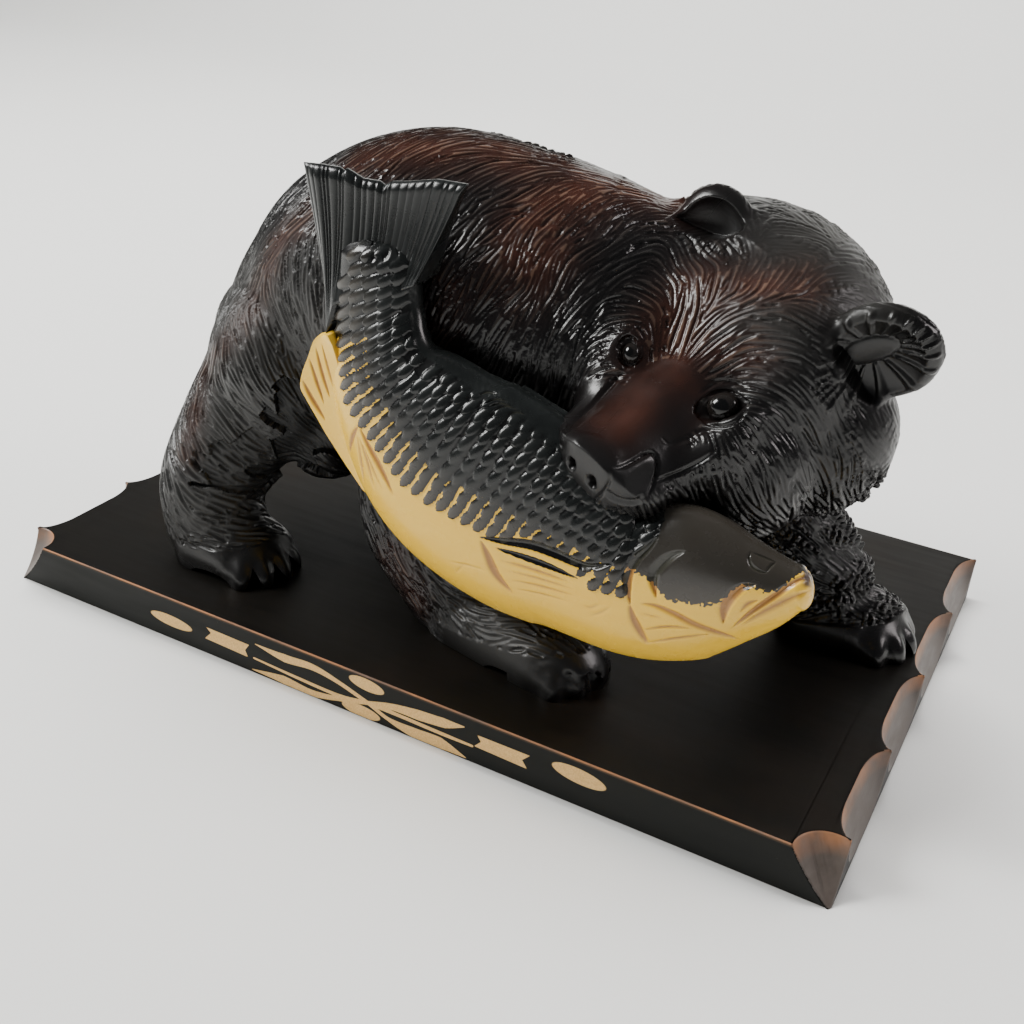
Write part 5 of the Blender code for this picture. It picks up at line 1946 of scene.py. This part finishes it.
# How uneven the ribs of a fin are, and the grooves between them.
RIB_WIDTHS, RIB_DEPTHS = (0.5, 1.5), (0.4, 1.0)


def rib_grooves(name, ribs, across):
    """How deep the grooves beside each point's rib are, and how far down in them it lies."""
    rng = np.random.default_rng(len(name))
    widths = rng.uniform(*RIB_WIDTHS, ribs)
    edges = np.concatenate(([0.0], np.cumsum(widths))) / widths.sum()
    depths = rng.uniform(*RIB_DEPTHS, ribs)
    number = np.clip(np.searchsorted(edges, across, side="right") - 1, 0, ribs - 1)
    local = (across - edges[number]) / (edges[number + 1] - edges[number])
    round_top = np.sqrt(np.clip(1 - (2 * local - 1) ** 2, 0.0, 1.0))
    return depths[number], 1 - round_top


# Half the thickness that is always left of a fin.
FIN_LEAST = 0.2


def make_fin(fin, columns, rows):
    """A closed fin: two ribbed faces that meet at a thin rim."""
    name, sheet, half_root, half_tip, ribs, rib_depth, bevel, dark, root, tip = fin
    shape = bmesh.new()
    bmesh.ops.create_grid(shape, x_segments=columns, y_segments=rows, size=1.0)
    bmesh.ops.solidify(shape, geom=shape.faces[:], thickness=0.5)
    mesh = mesh_from(name, shape)
    flat = read_points(mesh)
    across = np.clip((flat[:, 0] + 1) / 2, 0.0, 1.0)
    out = np.clip((flat[:, 1] + 1) / 2, 0.0, 1.0)
    front = flat[:, 2] > flat[:, 2].max() - 0.25
    places = fin_places(sheet, root, tip if dark else smoothed_line(tip, 5), across, out)
    leaves = np.zeros(len(places))
    for spots, width, deep in VENT_CUTS if name == VENT_FIN[0] else ():
        line = np.array([on_sheet(spot, sheet) for spot in smoothed_line(spots, 4)])
        leaves = np.maximum(leaves, leaf_cut(places, line, width, deep))
    half = half_tip + (half_root - half_tip) * (1 - out) ** 2.0
    depth, groove = rib_grooves(name, ribs, across)
    half = half - rib_depth * depth * groove * np.clip(out * 3, 0.2, 1.0)
    if bevel:
        half = half * (0.25 + 0.75 * np.clip(across / bevel, 0.0, 1.0))
    rim = np.minimum(np.minimum(across, 1 - across) * columns, (1 - out) * rows)
    half = np.maximum(half * np.clip(0.35 + 0.3 * rim, 0.0, 1.0), FIN_LEAST)
    half = np.maximum(half - leaves / STEP, FIN_LEAST)
    places[:, 1] -= np.where(front, 1, -1) * half * STEP
    write_points(mesh, places)
    shape = shape_from(mesh)
    bmesh.ops.recalc_face_normals(shape, faces=shape.faces)
    shape.to_mesh(mesh)
    shape.free()
    write_layer(mesh, "dark", np.full(len(places), dark))
    write_layer(mesh, "cut", np.clip(leaves / STEP / BARE_DEPTH, 0.0, 1.0))
    write_layer(mesh, "scale", 1 - np.clip(groove * depth, 0, 1))
    write_layer(mesh, "low", np.full(len(places), 1 - dark))
    write_layer(mesh, "burnt", np.zeros(len(places)))
    return mesh


# The plinth

SCOOPS_PER_END = 4
SCOOP_DEPTH = 0.0075
SCOOP_FOOT = 0.0015
SCOOP_RADIUS = 0.015
SCOOP_SQUARENESS = 3.2
SCOOP_OVERLAP = 1.035
SCOOP_SIDES = 96
CORNER_RADIUS = 0.0128
CORNER_SHARE_TOP = 0.0133
CORNER_INSET = (0.0048, 0.0013)
CORNER_LEAN = (0.013, 0.0105)
PLINTH_EDGE = 0.0006
# Above these parts of its normal a face is level, or lies flat in a side.
LEVEL_NORMAL, FLAT_NORMAL = 0.94, 0.995

# The stencil on the front, as spots. An oval has its two ends and its half width in grid
# steps, a ribbon its corners, and a leaf its line with a half width at each spot.
STENCIL_OVALS = (
    ((151, 612), (192, 630), 2.9), ((349, 677), (384, 693), 3.0), ((342, 703), (380, 719), 3.0),
    ((552, 764), (606, 789), 3.6),
)
STENCIL_RIBBONS = (
    ((206, 627), (249, 645), (245, 650), (248, 657), (205, 638), (211, 633)),
    ((477, 735), (530, 756), (522, 760), (527, 769), (474, 746), (481, 742)),
)
STENCIL_LEAVES = (
    (((255, 644), (284, 658), (312, 667), (338, 682), (368, 703)), (0.2, 2.1, 1.7, 1.1, 1.0)),
    (((368, 703), (388, 719), (412, 732), (440, 743), (466, 758)), (1.0, 1.0, 2.6, 2.9, 0.2)),
    (((252, 669), (284, 680), (312, 693), (340, 699), (368, 703)), (0.2, 2.2, 1.7, 1.1, 1.0)),
    (((368, 703), (392, 707), (418, 715), (444, 723), (464, 727)), (1.0, 1.6, 2.6, 2.4, 0.3)),
    (((254, 658), (300, 679), (340, 696), (368, 703)), (0.5, 0.8, 0.9, 1.0)),
    (((368, 703), (400, 716), (440, 733), (472, 746)), (1.0, 0.9, 0.9, 0.6)),
)


def scoop_form(place, half_length, radius, lean, squareness):
    """An upright cutter whose section is a rounded box, leaning outwards as it goes down."""
    shape = bmesh.new()
    thickness = PLINTH_HIGH[2]
    bmesh.ops.create_cone(
        shape, cap_ends=True, segments=SCOOP_SIDES, radius1=1.0, radius2=1.0, depth=3 * thickness
    )
    power = 2.0 / squareness
    for vertex in shape.verts:
        around = math.atan2(vertex.co.y, vertex.co.x)
        across = math.copysign(abs(math.cos(around)) ** power, math.cos(around)) * radius
        along = math.copysign(abs(math.sin(around)) ** power, math.sin(around)) * half_length
        below = -vertex.co.z
        vertex.co = Vector((
            place[0] + across + lean[0] * below,
            place[1] + along + lean[1] * below,
            thickness + vertex.co.z,
        ))
    bmesh.ops.recalc_face_normals(shape, faces=shape.faces)
    return shape


def scoop_forms():
    half_length, half_width = PLINTH_HIGH[0], PLINTH_HIGH[1]
    thickness = PLINTH_HIGH[2]
    lean = SCOOP_DEPTH / (thickness - SCOOP_FOOT)
    first = -half_width + CORNER_SHARE_TOP
    pitch = (half_width - first) / SCOOPS_PER_END
    for side in (-1, 1):
        for index in range(SCOOPS_PER_END):
            middle = first + pitch * (index + 0.5)
            yield scoop_form(
                (side * (half_length - SCOOP_DEPTH + SCOOP_RADIUS), middle),
                pitch / 2 * SCOOP_OVERLAP, SCOOP_RADIUS, (side * lean, 0.0), SCOOP_SQUARENESS,
            )
        yield scoop_form(
            (side * (half_length - CORNER_INSET[0]), CORNER_INSET[1] - half_width),
            CORNER_RADIUS, CORNER_RADIUS,
            (side * CORNER_LEAN[0] / thickness, -CORNER_LEAN[1] / thickness), 2.0,
        )


def on_front(spot):
    """A spot on the plinth's front, as X and Z in grid steps."""
    place = on_sheet(spot, PLINTH_LOW[1] / STEP)
    return np.array([place[0], place[2]]) / STEP


def inside_line(places, line, halves):
    """How far inside a line of changing half width the places are, in grid steps."""
    best = np.full(len(places), -9.0)
    for start, end, half_start, half_end in zip(line, line[1:], halves, halves[1:]):
        way = end - start
        share = np.clip(((places - start) @ way) / (way @ way), 0.0, 1.0)
        away = np.linalg.norm(places - start - share[:, None] * way, axis=1)
        best = np.maximum(best, half_start + (half_end - half_start) * share - away)
    return best


def inside_outline(places, outline):
    """How far inside a closed outline the places are, in grid steps."""
    gap = np.full(len(places), np.inf)
    inside = np.zeros(len(places), bool)
    for start, end in zip(outline, np.roll(outline, -1, axis=0)):
        way = end - start
        share = np.clip(((places - start) @ way) / (way @ way), 0.0, 1.0)
        gap = np.minimum(gap, np.linalg.norm(places - start - share[:, None] * way, axis=1))
        spans = (start[1] > places[:, 1]) != (end[1] > places[:, 1])
        cross = start[0] + (places[:, 1] - start[1]) * way[0] / (way[1] if way[1] else 1e-9)
        inside ^= spans & (places[:, 0] < cross)
    return np.where(inside, gap, -gap)


def stencil_share(points):
    """Above a half inside the stencilled pattern on the front."""
    places = points[:, [0, 2]] / STEP
    inside = np.full(len(places), -9.0)
    for first, last, half in STENCIL_OVALS:
        start, end = on_front(first), on_front(last)
        middle, way = (start + end) / 2, (end - start) / 2
        length = np.linalg.norm(way)
        way = way / length
        along = (places - middle) @ way
        across = (places - middle) @ np.array([-way[1], way[0]])
        inside = np.maximum(inside, (1 - np.hypot(along / length, across / half)) * half)
    for ribbon in STENCIL_RIBBONS:
        outline = np.array([on_front(spot) for spot in ribbon])
        inside = np.maximum(inside, inside_outline(places, outline))
    for line, halves in STENCIL_LEAVES:
        curve = smoothed_line([on_front(spot) for spot in line])
        widths = np.interp(np.linspace(0, 1, len(curve)), np.linspace(0, 1, len(halves)), halves)
        inside = np.maximum(inside, inside_line(places, curve, widths))
    return np.clip(0.5 + inside, 0.0, 1.0)


# Columns and rows of the front's grid.
FRONT_CELLS, QUICK_FRONT_CELLS = (860, 46), (200, 12)


def make_slab():
    """The plinth's slab, with a front that is fine enough to hold the stencil's edges."""
    length, width = PLINTH_HIGH[0] - PLINTH_LOW[0], PLINTH_HIGH[1] - PLINTH_LOW[1]
    thickness = PLINTH_HIGH[2] - PLINTH_LOW[2]
    columns, rows = FRONT_CELLS
    shape = bmesh.new()
    bmesh.ops.create_grid(shape, x_segments=columns, y_segments=rows, size=1.0)
    for vertex in shape.verts:
        x, z = vertex.co.x * length / 2, (vertex.co.y + 1) / 2 * thickness
        vertex.co = Vector((x, -width / 2, z))
    for depth in (3 * PLINTH_EDGE, width - 3 * PLINTH_EDGE):
        rim = [edge for edge in shape.edges if edge.is_boundary]
        pushed = bmesh.ops.extrude_edge_only(shape, edges=rim)
        moved = [part for part in pushed["geom"] if isinstance(part, bmesh.types.BMVert)]
        bmesh.ops.translate(shape, verts=moved, vec=(0, depth, 0))
    rim = [edge for edge in shape.edges if edge.is_boundary]
    bmesh.ops.contextual_create(shape, geom=rim)
    bmesh.ops.recalc_face_normals(shape, faces=shape.faces)
    return mesh_from("plinth_slab", shape)


def mark_gouges(mesh):
    """Faces of the scoops take the second material."""
    for face in mesh.polygons:
        place, normal = face.center, face.normal
        level = abs(normal.z) > LEVEL_NORMAL
        flat = any(
            abs(normal[axis]) > FLAT_NORMAL
            and abs(abs(place[axis]) - PLINTH_HIGH[axis]) < 4 * HAIR
            for axis in (0, 1)
        )
        face.material_index = 0 if level or flat else 1


# The stage


# The floor, in metres: half its width, where it starts and rises, the curve's radius, its run.
FLOOR_HALF_WIDTH, FLOOR_START, FLOOR_RISE, FLOOR_CURVE, FLOOR_RUN = 3.0, -1.6, 1.2, 0.8, 4.6


def make_floor(settings):
    """A seamless sheet: level under the carving, rising in one curve behind it."""
    shape = bmesh.new()
    bmesh.ops.create_grid(shape, x_segments=40, y_segments=120, size=1.0)
    for vertex in shape.verts:
        run = (vertex.co.y + 1) / 2 * FLOOR_RUN + FLOOR_START
        turn = min(math.pi / 2, max(0.0, run - FLOOR_RISE) / FLOOR_CURVE)
        past = max(0.0, run - FLOOR_RISE - FLOOR_CURVE * math.pi / 2)
        vertex.co = Vector((
            vertex.co.x * FLOOR_HALF_WIDTH,
            min(run, FLOOR_RISE) + FLOOR_CURVE * math.sin(turn),
            FLOOR_CURVE * (1 - math.cos(turn)) + past,
        ))
    bmesh.ops.recalc_face_normals(shape, faces=shape.faces)
    floor = add_object("floor", mesh_from("floor", shape))
    floor.data.polygons.foreach_set("use_smooth", [True] * len(floor.data.polygons))
    floor.data.materials.append(floor_paper(settings))


# Each light: place, aim, size, power, colour and whether it shows in glossy surfaces.
MIDDLE = (0, 0, 0.1)
LIGHTS = {
    "window": ((-1.35, -0.75, 1.15), MIDDLE, (0.6, 0.7), 34, (1, 1, 0.98), True),
    "ceiling": ((-0.3, 0.7, 2.0), MIDDLE, (1.8, 1.2), 56, (1, 0.99, 0.98), False),
    "far_window": ((1.5, 0.5, 1.0), MIDDLE, (0.7, 0.7), 11, (1, 0.93, 0.93), True),
    "wall_wash": ((-1.2, 0.2, 2.6), (-0.8, 2.0, 0.9), (1.0, 0.6), 64, (1, 1, 0.98), False),
}
SKY_COLOUR = (0.92, 0.95, 1.0, 1.0)
SKY_STRENGTH = 0.12


def make_lights(factor):
    for name, (place, aim, size, power, colour, glossy) in LIGHTS.items():
        light = bpy.data.lights.new(name, "AREA")
        light.shape = "RECTANGLE"
        light.size, light.size_y = size
        light.energy = power * factor
        light.color = colour
        lamp = add_object(name, light)
        lamp.location = place
        lamp.rotation_euler = (Vector(aim) - Vector(place)).to_track_quat("-Z", "Y").to_euler()
        lamp.visible_glossy = glossy


def make_sky():
    world = bpy.data.worlds.new("studio")
    world.use_nodes = True
    background = world.node_tree.nodes["Background"]
    background.inputs["Color"].default_value = SKY_COLOUR
    background.inputs["Strength"].default_value = SKY_STRENGTH
    bpy.context.scene.world = world


def make_camera():
    data = bpy.data.cameras.new("camera")
    data.sensor_width = SENSOR_WIDTH
    data.sensor_fit = "HORIZONTAL"
    data.lens = FOCAL_PIXELS * SENSOR_WIDTH / PHOTO_SIZE
    data.clip_start = 0.01
    data.clip_end = 50.0
    camera = add_object("camera", data)
    turned = Matrix((CAMERA_RIGHT, CAMERA_UP, -CAMERA_FORWARD)).transposed()
    camera.matrix_world = Matrix.Translation(CAMERA_PLACE) @ turned.to_4x4()
    bpy.context.scene.camera = camera


# Settings, one operator for each group of pieces, and the panel


def colour_setting(name, text, default):
    return FloatVectorProperty(
        name=name, description=text, subtype="COLOR", size=3, min=0.0, max=1.0, default=default
    )


class BearSettings(bpy.types.PropertyGroup):
    stroke_depth: FloatProperty(
        name="Stroke depth", description="Depth of the small gouge strokes, as a factor",
        default=1.0, min=0.0, max=2.0, subtype="FACTOR",
    )
    lock_depth: FloatProperty(
        name="Tuft height", description="How far the tufts' tips stand up, in millimetres",
        default=2.8, min=0.0, max=4.0,
    )
    lock_spacing: FloatProperty(
        name="Lock spacing", description="Distance between the large locks, in millimetres",
        default=7.5, min=4.0, max=30.0,
    )
    lacquer: colour_setting("Lacquer", "The black of the lacquer", (0.0045, 0.0040, 0.0040))
    stain: colour_setting("Stain", "The reddish brown that shows through", (0.037, 0.0122, 0.0074))
    # A lighter grey, painted in as a sheen where the lacquer is satin.
    satin_painted_sheen: colour_setting("Satin", "The duller grey-black", (0.020, 0.019, 0.017))
    # The crests' colours stand partly for worn lacquer and partly for a painted highlight on their
    # ridges.
    crest: colour_setting("Crests", "The crests between the strokes", (0.022, 0.021, 0.020))
    crest_stain_and_highlight: colour_setting(
        "Brown crests", "The crests where the brown shows through", (0.17, 0.096, 0.064)
    )


class SalmonSettings(bpy.types.PropertyGroup):
    scale_height: FloatProperty(
        name="Scale height", description="How far the scales stand up, in millimetres",
        default=0.95, min=0.0, max=2.0,
    )
    belly: colour_setting("Belly", "The light wood of the belly", (0.98, 0.62, 0.060))
    belly_deep: colour_setting("Belly grain", "The grain of the belly", (0.94, 0.54, 0.036))
    cut_wood: colour_setting("Cuts", "The floor of the cuts in the belly", (0.42, 0.19, 0.06))
    burnt_tip: colour_setting("Burnt tip", "The scorched tip of the jaw", (0.06, 0.03, 0.02))
    back: colour_setting("Back", "The dark back", (0.0045, 0.0052, 0.0050))
    back_light: colour_setting("Back, light", "Lighter clouds of the back", (0.012, 0.014, 0.0135))
    gaps: colour_setting("Gaps", "The gaps between the dark scales", (0.003, 0.003, 0.003))
    low_scales: colour_setting("Low scales", "The lowest rows of scales", (0.050, 0.042, 0.033))
    cut_back: colour_setting("Cuts in the back", "The cuts in the dark paint", (0.034, 0.033, 0.023))


class PlinthSettings(bpy.types.PropertyGroup):
    wood: colour_setting("Wood", "The dark wood of the top", (0.0040, 0.0037, 0.0034))
    wood_light: colour_setting("Wood, light", "The wood's lighter grain", (0.0085, 0.0072, 0.0058))
    wood_brown: colour_setting("Wood, brown", "Brown clouds in the top", (0.016, 0.0098, 0.006))
    front: colour_setting("Front", "The wood of the front", (0.0085, 0.0090, 0.0078))
    worn: colour_setting("Worn edge", "The worn edge of the front", (0.16, 0.10, 0.06))
    dust: colour_setting("Dust", "Specks of dust", (0.16, 0.15, 0.13))
    scoop: colour_setting("Scoops", "The bare wood of the scoops", (0.070, 0.055, 0.045))
    scoop_light: colour_setting("Scoops, light", "The scoops' lighter grain", (0.14, 0.115, 0.10))
    scoop_rim: colour_setting("Scoop rims", "Under the scoops' upper rims", (0.36, 0.16, 0.07))
    stencil: colour_setting("Stencil", "The cream leaves on the front", (0.70, 0.42, 0.15))
    stencil_light: colour_setting("Stencil, light", "Lighter cream", (0.88, 0.58, 0.24))


class StageSettings(bpy.types.PropertyGroup):
    floor: colour_setting("Floor", "The pale floor", (0.80, 0.80, 0.78))
    light_power: FloatProperty(
        name="Light", description="Strength of all the lights, as a factor",
        default=1.0, min=0.0, max=4.0, subtype="FACTOR",
    )


class CarvedBearSettings(bpy.types.PropertyGroup):
    bear: PointerProperty(type=BearSettings)
    salmon: PointerProperty(type=SalmonSettings)
    plinth: PointerProperty(type=PlinthSettings)
    stage: PointerProperty(type=StageSettings)


class CARVEDBEAR_OT_stage(bpy.types.Operator):
    """Make the pale floor, the soft lights and the camera"""

    bl_idname = "carvedbear.stage"
    bl_label = "Stage"

    def execute(self, context):
        settings = context.scene.carved_bear.stage
        make_floor(settings)
        make_lights(settings.light_power)
        make_sky()
        make_camera()
        return {"FINISHED"}


class CARVEDBEAR_OT_plinth(bpy.types.Operator):
    """Make the plinth with its gouged ends and stencilled front"""

    bl_idname = "carvedbear.plinth"
    bl_label = "Plinth"

    def execute(self, context):
        settings = context.scene.carved_bear.plinth
        plinth = add_object("plinth_slab", make_slab())
        cutters = [add_object("scoop", mesh_from("scoop", form)) for form in scoop_forms()]
        cut_out(plinth, cutters)
        for cutter in cutters:
            drop(cutter)
        edge = plinth.modifiers.new("edge", "BEVEL")
        edge.width = PLINTH_EDGE
        edge.segments = 2
        edge.limit_method = "ANGLE"
        edge.angle_limit = math.radians(24)
        edge.use_clamp_overlap = False
        mesh = baked(plinth)
        points = read_points(mesh)
        near_front = ramp(points[:, 1], PLINTH_LOW[1] + PLINTH_EDGE, PLINTH_LOW[1])
        near_top = ramp(points[:, 2], PLINTH_HIGH[2] - 2 * PLINTH_EDGE, PLINTH_HIGH[2] - PLINTH_EDGE)
        write_layer(mesh, "worn", near_front * near_top)
        on_front_face = points[:, 1] < PLINTH_LOW[1] + HAIR
        write_layer(mesh, "paint", np.where(on_front_face, stencil_share(points), 0.0))
        finish_piece(plinth, plinth_wood(settings), smooth=False)
        mesh.materials.append(gouged_wood(settings))
        mark_gouges(mesh)
        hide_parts("plinth")
        return {"FINISHED"}


class CARVEDBEAR_OT_bear(bpy.types.Operator):
    """Carve the bear and part it into pieces"""

    bl_idname = "carvedbear.bear"
    bl_label = "Bear"

    def execute(self, context):
        settings = context.scene.carved_bear.bear
        rough = carve_bear(settings)
        lacquer = bear_lacquer(settings)
        cutters = [
            add_object(name, join_forms(name, forms))
            for name, forms in zip(("claw_wedges", "side_arches"), paw_cutters())
        ]
        for name, mesh in part_bear(rough).items():
            if name in FOOT_PIECES:
                add_carved(name, fit_feet(mesh), lacquer, cutters)
            else:
                add_carved(name, mesh, lacquer)
        for spent in (*cutters, rough):
            drop(spent)
        return {"FINISHED"}


class CARVEDBEAR_OT_eyes(bpy.types.Operator):
    """Set the bear's two glossy eyes"""

    bl_idname = "carvedbear.eyes"
    bl_label = "Eyes"

    def execute(self, context):
        glass = eye_glass()
        for side, name in ((1, "eye_left"), (-1, "eye_right")):
            size, axes = EYE_SIZES[side], eye_axes(side)
            place = on_head(*EYE_PLACES[side]) - axes[0] * EYE_SINK * size * STEP
            shape = round_form(place, axes, np.array(EYE_RADII) * size * STEP, EYE_SIDES)
            mesh = mesh_from(name, shape)
            looking = place + axes[0] * EYE_RADII[0] * size * STEP
            gap = np.linalg.norm(read_points(mesh) - looking, axis=1)
            write_layer(mesh, "pupil", gap / (PUPIL_REACH * size * STEP))
            add_carved(name, mesh, glass)
        return {"FINISHED"}


class CARVEDBEAR_OT_salmon(bpy.types.Operator):
    """Make the salmon with its scales, fins and tail"""

    bl_idname = "carvedbear.salmon"
    bl_label = "Salmon"

    def execute(self, context):
        settings = context.scene.carved_bear.salmon
        paint = salmon_paint(settings)
        whole = make_salmon_mesh(settings)
        keep_normals(whole.data)
        halves = parted(whole.data, (SALMON_JOIN * STEP, 0, 0), (1, 0, 0))
        for name, mesh in zip(("salmon_tail_half", "salmon_head_half"), halves):
            add_carved(name, mesh, paint)
        drop(whole)
        for fin, cells in FIN_CELLS:
            add_carved(fin[0], make_fin(fin, *cells), paint)
        return {"FINISHED"}


class CARVEDBEAR_PT_panel(bpy.types.Panel):
    """The carved bear's settings and makers"""

    bl_idname = "CARVEDBEAR_PT_panel"
    bl_label = "Carved Bear"
    bl_space_type = "VIEW_3D"
    bl_region_type = "UI"
    bl_category = "Carved Bear"

    def draw(self, context):
        settings = context.scene.carved_bear
        for group in (settings.bear, settings.salmon, settings.plinth, settings.stage):
            box = self.layout.box()
            for name in group.__annotations__:
                box.prop(group, name)
        for maker in MAKERS:
            self.layout.operator(maker.bl_idname)


MAKERS = (
    CARVEDBEAR_OT_stage,
    CARVEDBEAR_OT_plinth,
    CARVEDBEAR_OT_bear,
    CARVEDBEAR_OT_eyes,
    CARVEDBEAR_OT_salmon,
)
CLASSES = (
    BearSettings,
    SalmonSettings,
    PlinthSettings,
    StageSettings,
    CarvedBearSettings,
    *MAKERS,
    CARVEDBEAR_PT_panel,
)


def register():
    for each in CLASSES:
        bpy.utils.register_class(each)
    bpy.types.Scene.carved_bear = PointerProperty(type=CarvedBearSettings)


def unregister():
    del bpy.types.Scene.carved_bear
    for each in reversed(CLASSES):
        bpy.utils.unregister_class(each)


def main():
    register()
    bpy.ops.carvedbear.stage()
    bpy.ops.carvedbear.plinth()
    bpy.ops.carvedbear.bear()
    bpy.ops.carvedbear.eyes()
    bpy.ops.carvedbear.salmon()


if __name__ == "__main__":
    main()
